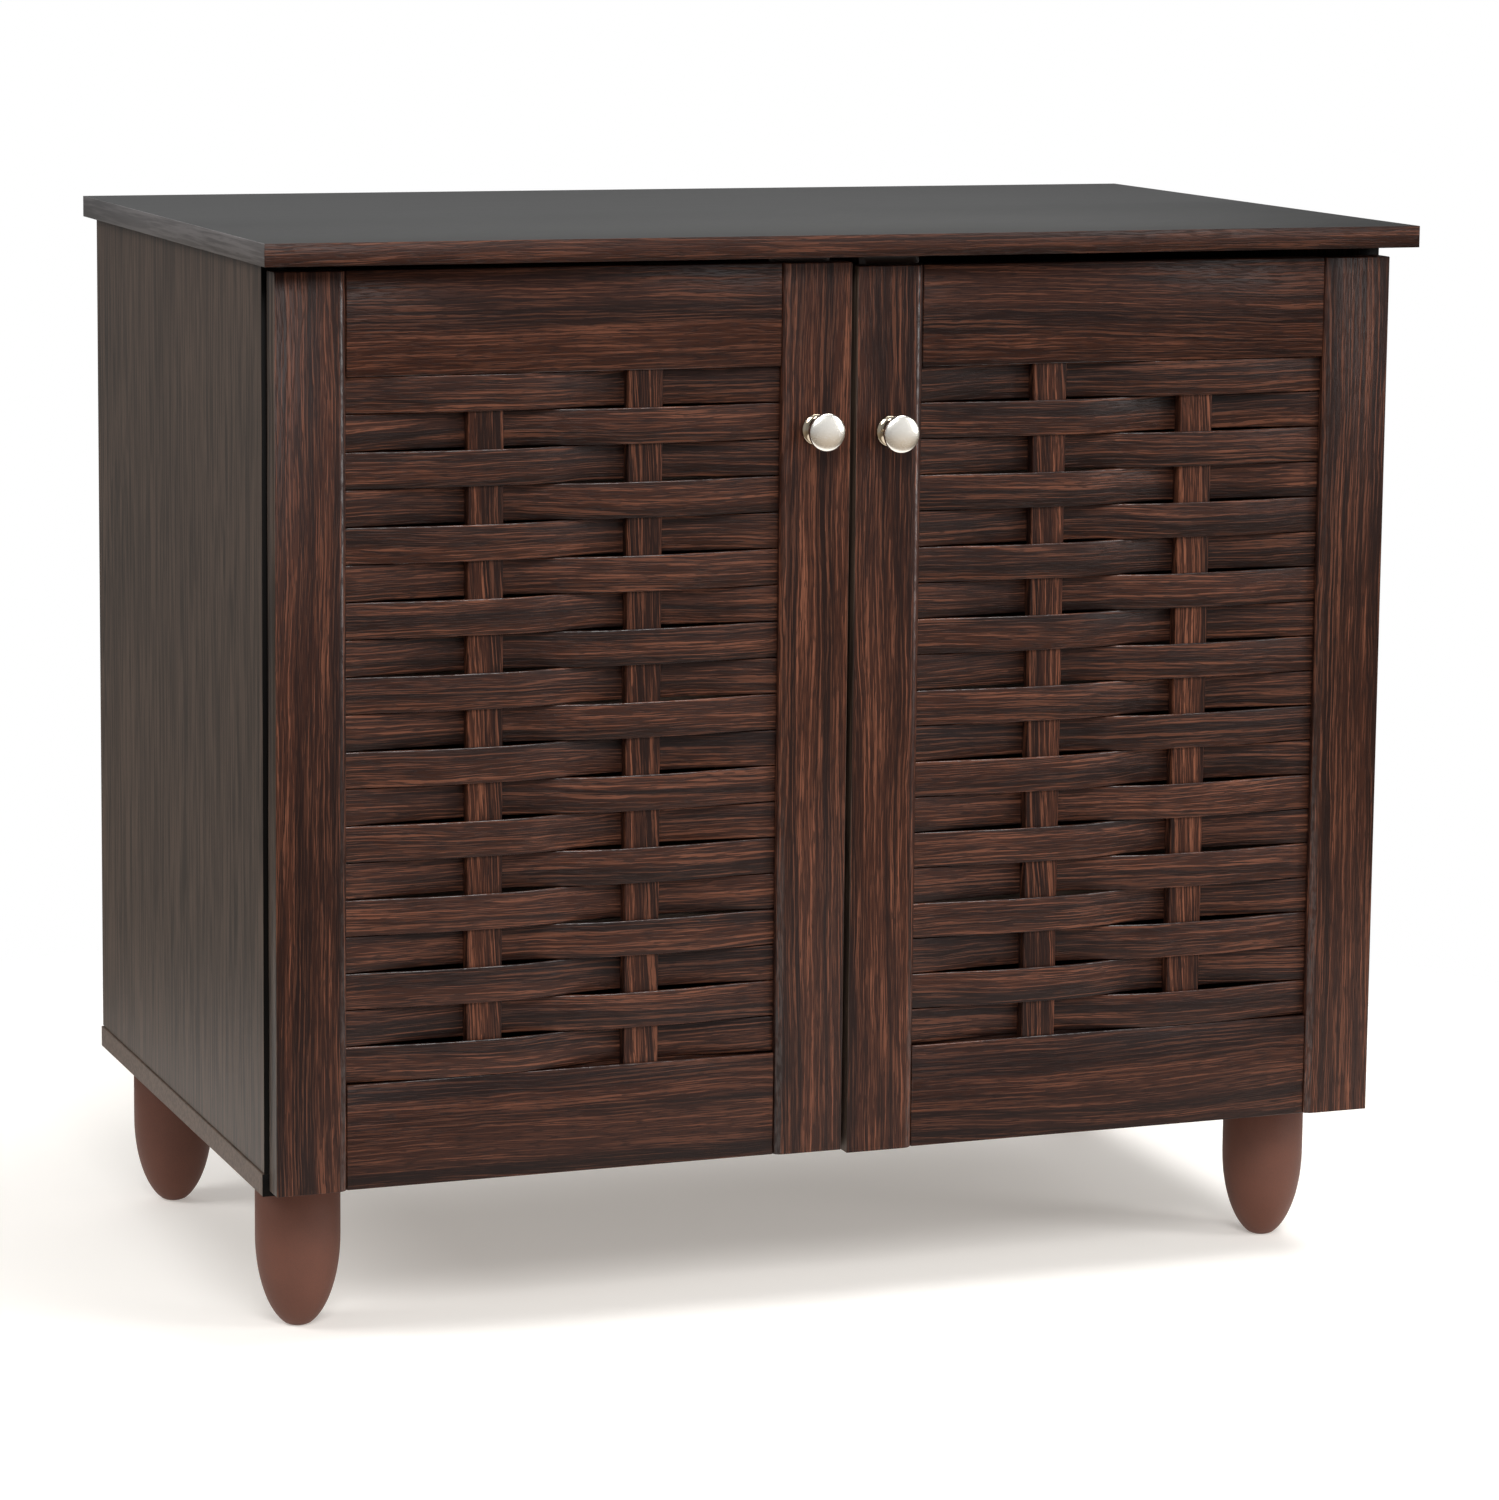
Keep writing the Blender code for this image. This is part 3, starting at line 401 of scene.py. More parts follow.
def make_plastic(name, tone, gloss):
    """Plain moulded plastic with a fine grain."""
    material, board, shader = new_material(name, {"Specular IOR Level": gloss})
    grit = board.noise(board.object_place(), 1500.0, 2.0, 0.6)
    body = board.blend(grit, scaled(tone, 0.85), scaled(tone, 1.15))
    plug(board, shader, {"Base Color": body, "Roughness": 0.42 + grit * 0.12})
    bumped(board, shader, grit, 0.3, 0.0001)


def make_metal(name, tone, roughness, brushing, spread):
    """Plated metal: fine brushing, lathe lines where it was turned, and faint cloudy patches."""
    material, board, shader = new_material(name, {"Metallic": 1.0})
    place = board.object_place()
    lines = board.stretched(board.parts(place), (brushing, 180.0, brushing), 2.0, 0.6)
    cloud = board.noise(place, 160.0)
    lathe = board.noise(board.vector(board.attribute("turning") * 7000.0, 0.0, 0.0), 1.0, 1.0)
    body = board.blend(lines * 0.6 + cloud * 0.4, scaled(tone, 0.93), tone)
    plug(board, shader, {"Base Color": body, "Roughness": roughness + lines * spread + cloud * spread * 0.5})
    bumped(board, shader, lines * 0.3 + lathe, 0.5, 0.00004)


def make_hardboard(name):
    """Back of a hardboard sheet: pressed fibres with a faint screen pattern."""
    material, board, shader = new_material(name, {"Specular IOR Level": 0.25})
    place = board.object_place()
    x, _, z = board.parts(place)
    fibre = board.noise(place, 420.0, 4.0, 0.7)
    cloud = board.noise(place, 14.0, 3.0, 0.6)
    turns = 2 * math.pi / 0.0016
    screen = (x * turns).alone("SINE") * (z * turns).alone("SINE")
    tone = board.step(fibre * 0.6 + cloud * 0.4 + screen * 0.05, 0.3, 0.7)
    body = board.blend(tone, (0.075, 0.042, 0.026), (0.150, 0.092, 0.058))
    plug(board, shader, {"Base Color": body, "Roughness": 0.62 + fibre * 0.2})
    bumped(board, shader, fibre * 0.7 + screen * 0.3, 0.5, 0.00025)


def finish(name):
    return bpy.data.materials[name]


def dress(node, name):
    """Gives a frame node a finish."""
    for material_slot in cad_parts[node].material_slots:
        material_slot.material = finish(name)


# --- Meshes --------------------------------------------------------------------------


def add_piece(name, mesh, body, replaced=(), figure=None):
    """Adds a finished piece that rides on a body; the mesh is in place already."""
    mesh.name = name
    if figure is not None:
        attribute = mesh.attributes.new("figure", "FLOAT", "POINT")
        attribute.data.foreach_set("value", [figure] * len(mesh.vertices))
    piece = bpy.data.objects.new(name, mesh)
    bpy.context.scene.collection.objects.link(piece)
    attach(piece, body)
    if replaced:
        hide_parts(*replaced)
    return piece


def mesh_of(shape, materials, smooth_angle=None):
    """A mesh from a bmesh, with its faces turned outwards."""
    bmesh.ops.remove_doubles(shape, verts=shape.verts, dist=0.000005)
    bmesh.ops.recalc_face_normals(shape, faces=shape.faces)
    mesh = bpy.data.meshes.new("piece")
    shape.to_mesh(mesh)
    shape.free()
    for material in materials:
        mesh.materials.append(material)
    if smooth_angle is not None:
        mesh.shade_smooth()
        mesh.set_sharp_from_angle(angle=math.radians(smooth_angle))
    return mesh


def mark_edges(mesh, is_edge, strength=1.0):
    """Gives the vertices of polished edges an "edge" value for the coat."""
    attribute = mesh.attributes.new("edge", "FLOAT", "POINT")
    values = [strength if is_edge(vertex.co) else 0.0 for vertex in mesh.vertices]
    attribute.data.foreach_set("value", values)


def drop(*objects):
    for obj in objects:
        bpy.data.objects.remove(obj, do_unlink=True)


def worked(mesh, steps, smooth_angle=40.0):
    """The mesh after modifiers, each given as (type, settings). The objects that they use are removed."""
    obj = bpy.data.objects.new("work", mesh)
    bpy.context.scene.collection.objects.link(obj)
    for kind, settings in steps:
        modifier = obj.modifiers.new(kind.lower(), kind)
        for name, value in settings.items():
            setattr(modifier, name, value)
    graph = bpy.context.evaluated_depsgraph_get()
    made = bpy.data.meshes.new_from_object(obj.evaluated_get(graph))
    drop(obj, *(settings["object"] for _, settings in steps if "object" in settings))
    made.shade_smooth()
    made.set_sharp_from_angle(angle=math.radians(smooth_angle))
    return made


def bevel_step(width, segments=3, angle=30.0):
    settings = {
        "width": width,
        "segments": segments,
        "limit_method": "ANGLE",
        "angle_limit": math.radians(angle),
        "harden_normals": True,
    }
    return ("BEVEL", settings)


def box_shape(low, high):
    shape = bmesh.new()
    size = Vector(high) - Vector(low)
    centre = (Vector(low) + Vector(high)) / 2
    bmesh.ops.create_cube(shape, size=1.0, matrix=Matrix.Translation(centre) @ Matrix.Diagonal((*size, 1.0)))
    return shape


def board_mesh(low, high, material, edge):
    return worked(mesh_of(box_shape(low, high), [material]), [bevel_step(edge)])


def turned_shape(profile, steps, place=Matrix.Identity(4)):
    """A profile of (radius, height) points spun about Z, then placed."""
    shape = bmesh.new()
    verts = [shape.verts.new((radius, 0.0, height)) for radius, height in profile]
    edges = [shape.edges.new(pair) for pair in zip(verts, verts[1:])]
    spin = {"axis": (0, 0, 1), "cent": (0, 0, 0), "angle": 2 * math.pi, "steps": steps}
    bmesh.ops.spin(shape, geom=verts + edges, use_duplicate=False, **spin)
    bmesh.ops.remove_doubles(shape, verts=shape.verts, dist=0.000002)
    bmesh.ops.transform(shape, matrix=place, verts=shape.verts)
    return shape


def arc(centre, radii, start, end, steps):
    """Points along an ellipse's arc, angles in degrees."""
    points = []
    for i in range(steps + 1):
        angle = math.radians(start + (end - start) * i / steps)
        points.append((centre[0] + radii[0] * math.cos(angle), centre[1] + radii[1] * math.sin(angle)))
    return points


def prism_shape(outline, low, high, upright="Z"):
    """A closed (x, y) outline raised from low to high along Z, or an (x, z) outline along Y."""
    shape = bmesh.new()
    if upright == "Z":
        verts = [shape.verts.new((x, y, low)) for x, y in outline]
        lift = (0, 0, high - low)
    else:
        verts = [shape.verts.new((x, low, z)) for x, z in outline]
        lift = (0, high - low, 0)
    face = shape.faces.new(verts)
    raised = bmesh.ops.extrude_face_region(shape, geom=[face])
    tops = [item for item in raised["geom"] if isinstance(item, bmesh.types.BMVert)]
    bmesh.ops.translate(shape, vec=lift, verts=tops)
    return shape


def join_shapes(shapes):
    """One bmesh that holds several."""
    whole = bmesh.new()
    for shape in shapes:
        part = bpy.data.meshes.new("part")
        shape.to_mesh(part)
        shape.free()
        whole.from_mesh(part)
        bpy.data.meshes.remove(part)
    return whole


def hidden_object(name, mesh):
    """An object that a tree copies or a Boolean uses, and no render shows."""
    obj = bpy.data.objects.new(name, mesh)
    bpy.context.scene.collection.objects.link(obj)
    obj.hide_render = True
    return obj


def boolean_step(shape, operation="DIFFERENCE"):
    tool = hidden_object("tool", mesh_of(shape, []))
    return ("BOOLEAN", {"operation": operation, "solver": "EXACT", "object": tool})


def cylinder_profile(radius, length):
    half = length / 2
    return [(0.0, half), (radius, half), (radius, -half), (0.0, -half)]


def facing_place(place, direction=BACKWARD):
    """Puts +Z of a turned shape along a direction, at a place."""
    turn = Vector((0, 0, 1)).rotation_difference(Vector(direction)).to_matrix().to_4x4()
    return Matrix.Translation(place) @ turn


def rounded_outline(xs, zs, radius):
    """A rectangle with rounded corners."""
    corners = [(xs[1], zs[1], 0), (xs[0], zs[1], 90), (xs[0], zs[0], 180), (xs[1], zs[0], 270)]
    points = []
    for x, z, start in corners:
        centre = (x - math.copysign(radius, x - sum(xs) / 2), z - math.copysign(radius, z - sum(zs) / 2))
        points += arc(centre, (radius, radius), start, start + 90, 6)
    return points


# --- Geometry Nodes ------------------------------------------------------------------


def run_tree(name, inputs, build, source=None, smooth_angle=35.0):
    """Builds a Geometry Nodes tree, runs it on the source mesh and returns the result as a plain mesh."""
    tree = bpy.data.node_groups.new(name, "GeometryNodeTree")
    tree.interface.new_socket("Geometry", in_out="OUTPUT", socket_type="NodeSocketGeometry")
    tree.interface.new_socket("Geometry", in_out="INPUT", socket_type="NodeSocketGeometry")
    items = {}
    for label, (kind, _) in inputs.items():
        items[label] = tree.interface.new_socket(label, in_out="INPUT", socket_type=f"NodeSocket{kind}")
    board = Board(tree)
    entry = tree.nodes.new("NodeGroupInput")
    wires = {socket.name: Wire(board, socket) for socket in entry.outputs if socket.name}
    shaped = build(board, wires)
    real = board.node("GeometryNodeRealizeInstances", {}, (shaped,))
    dressed = board.node("GeometryNodeSetMaterial", {}, {"Geometry": real, "Material": wires["Material"]})
    board.node("NodeGroupOutput", {}, (dressed,))
    holder = bpy.data.objects.new(name, source or bpy.data.meshes.new(name))
    bpy.context.scene.collection.objects.link(holder)
    modifier = holder.modifiers.new(name, "NODES")
    modifier.node_group = tree
    for label, (_, value) in inputs.items():
        modifier[items[label].identifier] = value
    graph = bpy.context.evaluated_depsgraph_get()
    made = bpy.data.meshes.new_from_object(holder.evaluated_get(graph))
    holder.modifiers.remove(modifier)
    drop(holder)
    made.shade_smooth()
    made.set_sharp_from_angle(angle=math.radians(smooth_angle))
    return made


def random_value(board, low, high, index, seed):
    sockets = {2: low, 3: high, 7: index, 8: seed}
    return board.node("FunctionNodeRandomValue", {"data_type": "FLOAT"}, sockets, output=1)


def stored(board, geometry, name, value, domain="INSTANCE"):
    settings = {"data_type": "FLOAT", "domain": domain}
    sockets = {"Geometry": geometry, "Name": name, "Value": value}
    return board.node("GeometryNodeStoreNamedAttribute", settings, sockets)


def read_attribute(board, name, kind="FLOAT"):
    return board.node("GeometryNodeInputNamedAttribute", {"data_type": kind}, {"Name": name})


def swept_bar(board, width, thickness, edge_round, line):
    """A bar with rounded edges and closed ends along a line."""
    profile = board.node("GeometryNodeCurvePrimitiveQuadrilateral", {}, {0: width, 1: thickness})
    rounding = {"Curve": profile, "Count": 3, "Radius": edge_round}
    profile = board.node("GeometryNodeFilletCurve", {"mode": "POLY"}, rounding)
    sockets = {"Curve": line, "Profile Curve": profile, "Fill Caps": True}
    return board.node("GeometryNodeCurveToMesh", {}, sockets)


def repeated(board, piece, count, first, offset):
    """A piece on each point of a straight row."""
    sockets = {"Count": count, "Start Location": first, "Offset": offset}
    row = board.node("GeometryNodeMeshLine", {"mode": "OFFSET"}, sockets)
    return board.node("GeometryNodeInstanceOnPoints", {}, {"Points": row, "Instance": piece})


def build_slats(board, wires):
    """Rounded slats, bent in front of one strip and behind the other, row about row."""
    index = board.node("GeometryNodeInputIndex")
    half = wires["Length"] * 0.5
    ends = {"Start": board.vector(-half, 0.0, 0.0), "End": board.vector(half, 0.0, 0.0)}
    line = board.node("GeometryNodeCurvePrimitiveLine", {}, ends)
    stations = {"Curve": line, "Count": wires["Stations"]}
    line = board.node("GeometryNodeResampleCurve", {"mode": "COUNT"}, stations)
    slat = swept_bar(board, wires["Slat thickness"], wires["Slat height"], wires["Edge round"], line)
    rise = board.vector(0.0, 0.0, wires["Pitch"])
    rows = repeated(board, slat, wires["Rows"], wires["First row"], rise)
    figure = index * 0.37 + random_value(board, 0.0, 0.3, index, wires["Seed"])
    rows = stored(board, rows, "figure", figure)
    rows = stored(board, rows, "row", index)
    rows = board.node("GeometryNodeRealizeInstances", {}, (rows,))
    row = read_attribute(board, "row")
    x, _, z = board.parts(board.node("GeometryNodeInputPosition"))
    middle_x, _, first_z = board.parts(wires["First row"])
    across = x - middle_x
    distance = abs(across)
    crossing = wires["Strip spacing"] * 0.5
    level = wires["Strip width"] * 0.5 + wires["Straight run"]
    inner = (distance / (crossing - level) * (math.pi / 2)).alone("SINE")
    run = (distance - crossing - level) / (half - crossing - level)
    outer = ((run * math.pi).alone("COSINE") + 1.0) * 0.5
    is_inner = distance < (crossing - level)
    is_outer = distance > (crossing + level)
    share = is_inner * inner + is_outer * outer + (1.0 - is_inner) * (1.0 - is_outer)
    share = share * across.alone("SIGN")
    row_side = ((row % 2.0) * 2.0 - 1.0) * wires["Side"]
    bulge = share * row_side * wires["Wave height"]
    lean = random_value(board, -0.010, 0.010, row + 40.0, wires["Seed"]) * wires["Looseness"]
    above = z - first_z - row * wires["Pitch"]
    polished = above > (wires["Slat height"] * 0.5 - wires["Edge round"] * 0.6)
    rows = stored(board, rows, "edge", polished, "POINT")
    looser = abs(share) * random_value(board, 0.0, 0.0004, row + 90.0, wires["Seed"])
    looser = looser * wires["Looseness"]
    offset = board.vector(0.0, bulge + above * lean + looser * row_side * share, 0.0)
    return board.node("GeometryNodeSetPosition", {}, {"Geometry": rows, "Offset": offset})


def build_strips(board, wires):
    """Upright strips with softened edges, side by side."""
    ends = {"Start": (0.0, 0.0, 0.0), "End": board.vector(0.0, 0.0, wires["Length"])}
    line = board.node("GeometryNodeCurvePrimitiveLine", {}, ends)
    widths = (wires["Strip width"], wires["Strip thickness"])
    strip = swept_bar(board, *widths, wires["Edge round"], line)
    aside = board.vector(wires["Strip spacing"], 0.0, 0.0)
    strips = repeated(board, strip, 2, wires["First strip"], aside)
    index = board.node("GeometryNodeInputIndex")
    return stored(board, strips, "figure", index * 0.53 + wires["Figure"])


def build_fasteners(board, wires):
    """One pattern piece on each point, its axis along the point's "facing" direction."""
    facing = read_attribute(board, "facing", "FLOAT_VECTOR")
    turn = board.node("FunctionNodeAlignRotationToVector", {"axis": "Z"}, {"Vector": facing})
    index = board.node("GeometryNodeInputIndex")
    spin = board.vector(0.0, 0.0, random_value(board, 0.0, math.pi, index, wires["Seed"]))
    spin = board.node("FunctionNodeEulerToRotation", {}, (spin,))
    turn = board.node("FunctionNodeRotateRotation", {"rotation_space": "LOCAL"}, (turn, spin))
    pattern = board.node("GeometryNodeObjectInfo", {}, {"Object": wires["Pattern"]}, output=4)
    sockets = {"Points": wires["Geometry"], "Instance": pattern, "Rotation": turn, "Scale": wires["Scale"]}
    return board.node("GeometryNodeInstanceOnPoints", {}, sockets)


def add_fasteners(name, body, seats, pattern, scale=1.0, replaced=()):
    """A piece that holds one steel pattern at each seat, (place, facing)."""
    source = bpy.data.meshes.new(f"{name}_seats")
    source.from_pydata([place for place, _ in seats], [], [])
    attribute = source.attributes.new("facing", "FLOAT_VECTOR", "POINT")
    attribute.data.foreach_set("vector", [value for _, facing in seats for value in facing])
    inputs = {
        "Pattern": ("Object", pattern),
        "Scale": ("Vector", (scale, scale, scale)),
        "Seed": ("Int", 3),
        "Material": ("Material", finish("steel_bright")),
    }
    mesh = run_tree(f"{name}_tree", inputs, build_fasteners, source)
    drop(pattern)
    add_piece(name, mesh, body, replaced)


def recessed_head(profile, sides, radius, floor):
    """A turned screw with a cross recess cut down to floor."""
    head = mesh_of(turned_shape(profile, sides), [])
    arm, thin = radius * 0.55, radius * 0.11
    above = 1.0
    crosses = (
        ((-arm, -thin, floor), (arm, thin, above)),
        ((-thin, -arm, floor), (thin, arm, above)),
    )
    cuts = [boolean_step(box_shape(*cross)) for cross in crosses]
    return hidden_object("screw_pattern", worked(head, cuts))


def screw_pattern():
    """A pan head of radius 1; its seat is at z = 0."""
    profile = [(0.0, 0.62), *arc((0.0, 0.12), (1.0, 0.5), 80, 0, 5), (1.0, 0.0), (0.0, 0.0)]
    return recessed_head(profile, 24, 1.0, 0.22)


def machine_screw(head_radius, head_height, shank_radius, shank_length):
    """A pan-head screw; the head's seat is at z = 0 and the shank hangs below."""
    dome = arc((0.0, head_height * 0.25), (head_radius, head_height * 0.75), 90, 0, 7)
    profile = [*dome, (head_radius * 0.985, 0.0), (shank_radius, 0.0)]
    profile += [(shank_radius, -shank_length + shank_radius * 0.5), (shank_radius * 0.6, -shank_length)]
    profile += [(0.0, -shank_length)]
    return recessed_head(profile, 32, head_radius, head_height * 0.35)


def nail_pattern():
    """A flat round nail head of radius 1."""
    profile = [(0.0, 0.22), (0.82, 0.2), (1.0, 0.1), (1.0, 0.0), (0.0, 0.0)]
    return hidden_object("nail_pattern", mesh_of(turned_shape(profile, 16), [], 35.0))


def pin_pattern(radius, length):
    """A plain pin with chamfered ends, centred, along Z."""
    half, edge = length / 2, radius * 0.25
    profile = [(0.0, half), (radius - edge, half), (radius, half - edge)]
    profile += [(radius, edge - half), (radius - edge, -half), (0.0, -half)]
    return hidden_object("pin_pattern", mesh_of(turned_shape(profile, 24), [], 40.0))


# --- Operators -----------------------------------------------------------------------


class CABINET_OT_finishes(bpy.types.Operator):
    """Makes the cabinet's materials."""

    bl_idname = "cabinet.finishes"
    bl_label = "Finishes"

    def execute(self, context):
        colours = context.scene.cabinet_finish
        make_wood("wood_upright", "Z", colours, 0.82, 0.0, 1.14)
        make_wood("wood_level", "X", colours, 0.72)
        # The bottom rails' copy of the same wood at 0.8 brightness: painted shade.
        make_wood("wood_level_low", "X", colours, 0.7, 0.0, 0.8)
        make_wood("wood_edge", "X", colours, 0.6, 0.0, 0.9, 0.16)
        make_wood("wood_slat", "X", colours, 1.0, 0.0, 0.9, 0.16, 0.04)
        make_wood("wood_strip", "Z", colours, 1.1, 0.04, 1.15)
        dark, light = colours.foil_dark, colours.foil_light
        make_foil("foil_side", "Z", dark, light, 0.44, 0.3)
        make_foil("foil_top", "X", (0.009, 0.0089, 0.0084), (0.024, 0.0235, 0.0224), 0.42, 0.12)
        make_foil("foil_inside", "X", dark, light, 0.5, 0.35)
        make_foil("foil_edge", "Y", (0.050, 0.045, 0.044), (0.150, 0.138, 0.136), 0.44, 0.5)
        make_foot_plastic(colours.foot)
        make_plastic("catch_plastic_brown", (0.035, 0.019, 0.013), 0.4)
        # Near-black plastic for painted shade on the carcass's front edges.
        make_plastic("edge_band_black", (0.0032, 0.0026, 0.0023), 0.05)
        make_metal("nickel_satin", colours.nickel, 0.20, 2600.0, 0.08)
        # Flange and neck: polished metal whose tone is darkened and warmed, a painted reflection of the dark
        # wood door around it.
        make_metal("nickel_bright", (0.56, 0.475, 0.36), 0.04, 1800.0, 0.04)
        make_metal("steel_bright", colours.steel, 0.22, 1600.0, 0.14)
        make_hardboard("hardboard_back")
        return {"FINISHED"}


class CABINET_OT_carcass(bpy.types.Operator):
    """Gives the carcass boards their foils, makes the top with its edge bands, and lays near-black
    painted-shade strips on the front edges of the sides and bottom.
    """

    bl_idname = "cabinet.carcass"
    bl_label = "Carcass"

    def execute(self, context):
        boards = {
            "foil_side": ("side_panel_left", "side_panel_right"),
            "foil_inside": ("bottom_panel", "shelf_lower", "shelf_middle", "shelf_upper"),
            "hardboard_back": ("back_panel",),
        }
        for foil, nodes in boards.items():
            for node in nodes:
                dress(node, foil)
        self.make_top()
        # Near-black strips on the front edges of the side panels and bottom panel: painted shade for the
        # deep gap behind the doors.
        thickness = 0.0004
        for node in ("side_panel_left", "side_panel_right", "bottom_panel"):
            low, high, _ = span(node)
            start, end = (low.x, low.y - thickness, low.z), (high.x, low.y, high.z)
            band = board_mesh(start, end, finish("edge_band_black"), 0.00015)
            add_piece(f"{node}_edge_band", band, "cabinet")
        return {"FINISHED"}

    def make_top(self):
        """The board keeps its foil; thin bands cover its four edges."""
        low, high, _ = span("top_panel")
        band = 0.0008
        left, right, front, back = low.x + band, high.x - band, low.y + band, high.y - band
        core = board_mesh((left, front, low.z), (right, back, high.z), finish("foil_top"), 0.00015)
        add_piece("top_board", core, "cabinet", ["top_panel"], 0.31)
        bands = {
            "front": ((low.x, low.y, low.z), (high.x, front, high.z), "wood_edge"),
            "back": ((low.x, back, low.z), (high.x, high.y, high.z), "foil_top"),
            "left": ((low.x, front, low.z), (left, back, high.z), "foil_edge"),
            "right": ((right, front, low.z), (high.x, back, high.z), "foil_edge"),
        }
        for index, (place, (start, end, foil)) in enumerate(bands.items()):
            mesh = board_mesh(start, end, finish(foil), 0.0003)
            add_piece(f"top_edge_band_{place}", mesh, "cabinet", (), 0.17 * index)


class CABINET_OT_door_frames(bpy.types.Operator):
    """Makes each door's stiles and rails, grooved and rounded."""

    bl_idname = "cabinet.door_frames"
    bl_label = "Door frames"

    def execute(self, context):
        sizes = context.scene.cabinet_door
        for order, (name, side) in enumerate(SIDES.items()):
            self.make_stile(name, "hinge", side, sizes, 0.43 + 1.31 * order)
            self.make_stile(name, "knob", -side, sizes, 0.87 + 1.13 * order)
            for place in ("top", "bottom"):
                self.make_rail(name, place, sizes, 1.9 * order + (0.21 if place == "top" else 0.77))
        return {"FINISHED"}

    def make_stile(self, name, kind, outer, sizes, figure):
        """outer is the side of the stile's plain edge."""
        node = f"{name}_door_stile_{kind}"
        low, high, _ = span(node)
        outer_x, inner_x = (low.x, high.x) if outer < 0 else (high.x, low.x)
        weave_y = span(f"{name}_door_woven_panel")[2].y
        start_x = inner_x + outer * sizes.round_width
        lip = 0.0012
        radii = (-outer * sizes.round_width, sizes.round_depth)
        rounded = arc((start_x, low.y + sizes.round_depth), radii, -84, 0, 10)
        groove_x = inner_x + outer * sizes.groove_depth
        groove = (weave_y - sizes.groove_width / 2, weave_y + sizes.groove_width / 2)
        outline = [(outer_x, high.y), (outer_x, low.y), (start_x + outer * lip, low.y), *rounded]
        outline += [(inner_x, groove[0]), (groove_x, groove[0])]
        outline += [(groove_x, groove[1]), (inner_x, groove[1]), (inner_x, high.y)]
        mesh = mesh_of(prism_shape(outline, low.z, high.z), [finish("wood_upright"), finish("foil_side")])
        steps = [bevel_step(sizes.edge, 3, 40.0)]
        steps += [boolean_step(shape) for shape in self.bores(name, kind)]
        mesh = worked(mesh, steps)
        near, foil = 0.0003, 1
        for polygon in mesh.polygons:
            if abs(polygon.center.x - outer_x) < near:
                polygon.material_index = foil
        front, back = low.y + near, low.y + sizes.round_depth - near
        mark_edges(mesh, lambda co: front < co.y < back and abs(co.x - inner_x) < sizes.round_width, 0.5)
        add_piece(f"{name}_stile_{kind}_side", mesh, DOOR_BODIES[name], [node], figure)

    def bores(self, name, kind):
        """Hinge cup bores, or the knob screw's hole."""
        if kind == "knob":
            hole = cylinder_profile(0.0023, 0.06)
            return [turned_shape(hole, 24, facing_place(span(f"{name}_knob_screw")[2]))]
        back = span(f"{name}_door_stile_hinge")[1].y
        shapes = []
        for height in HEIGHTS:
            low, _, middle = span(f"{name}_hinge_cup_{height}")
            bore = cylinder_profile(CUP_RADIUS + SEAT_GAP, 2 * (back - low.y + SEAT_GAP))
            shapes.append(turned_shape(bore, 48, facing_place(Vector((middle.x, back, middle.z)))))
        return shapes

    def make_rail(self, name, place, sizes, figure):
        """A grooved rail; the groove takes the strips' ends."""
        node = f"{name}_door_rail_{place}"
        low, high, _ = span(node)
        weave_y = span(f"{name}_door_woven_panel")[2].y
        # The bottom rail takes the darker copy of the wood, which paints in shade.
        inner, wood = (low.z, "wood_level") if place == "top" else (high.z, "wood_level_low")
        half_width, beyond = 0.0047, 0.01
        groove = box_shape(
            (low.x - beyond, weave_y - half_width, inner - sizes.groove_depth),
            (high.x + beyond, weave_y + half_width, inner + sizes.groove_depth),
        )
        mesh = mesh_of(box_shape(low, high), [finish(wood)])
        mesh = worked(mesh, [bevel_step(sizes.edge), boolean_step(groove)])
        near = 0.00005
        front, back = low.y + near, low.y + sizes.edge - near
        mark_edges(mesh, lambda co: front < co.y < back and abs(co.z - inner) < sizes.edge)
        add_piece(f"{name}_rail_{place}", mesh, DOOR_BODIES[name], [node], figure)


class CABINET_OT_weave(bpy.types.Operator):
    """Weaves each door's slats over and under its upright strips."""

    bl_idname = "cabinet.weave"
    bl_label = "Woven panels"

    def execute(self, context):
        sizes = context.scene.cabinet_weave
        doors = context.scene.cabinet_door
        for name, side in SIDES.items():
            node = f"{name}_door_woven_panel"
            low, high = door_opening(name)
            middle = span(node)[2]
            pitch = (high.y - low.y) / sizes.rows
            reach = doors.groove_depth - 0.0004
            shared = {
                "Strip spacing": ("Float", sizes.strip_spacing),
                "Strip width": ("Float", sizes.strip_width),
                "Edge round": ("Float", sizes.edge_round),
            }
            inputs = {
                **shared,
                "Rows": ("Int", sizes.rows),
                "Pitch": ("Float", pitch),
                "Slat height": ("Float", pitch - sizes.row_gap),
                "Slat thickness": ("Float", sizes.slat_thickness),
                "Length": ("Float", high.x - low.x + 2 * reach),
                "Stations": ("Int", 97),
                "First row": ("Vector", (middle.x, middle.y, low.y + pitch / 2)),
                "Straight run": ("Float", sizes.plateau),
                "Wave height": ("Float", (sizes.slat_thickness + sizes.strip_thickness) / 2 + 0.0001),
                "Side": ("Float", float(side)),
                "Looseness": ("Float", sizes.looseness),
                "Seed": ("Int", sizes.seed + side),
                "Material": ("Material", finish("wood_slat")),
            }
            slats = run_tree(f"{name}_slat_tree", inputs, build_slats)
            add_piece(f"{name}_woven_slats", slats, DOOR_BODIES[name], [node])
            first = (middle.x - sizes.strip_spacing / 2, middle.y, low.y - reach)
            inputs = {
                **shared,
                "Strip thickness": ("Float", sizes.strip_thickness),
                "Length": ("Float", high.y - low.y + 2 * reach),
                "First strip": ("Vector", first),
                "Figure": ("Float", 2.1 + side * 0.4),
                "Material": ("Material", finish("wood_strip")),
            }
            strips = run_tree(f"{name}_strip_tree", inputs, build_strips)
            add_piece(f"{name}_upright_strips", strips, DOOR_BODIES[name])
        return {"FINISHED"}


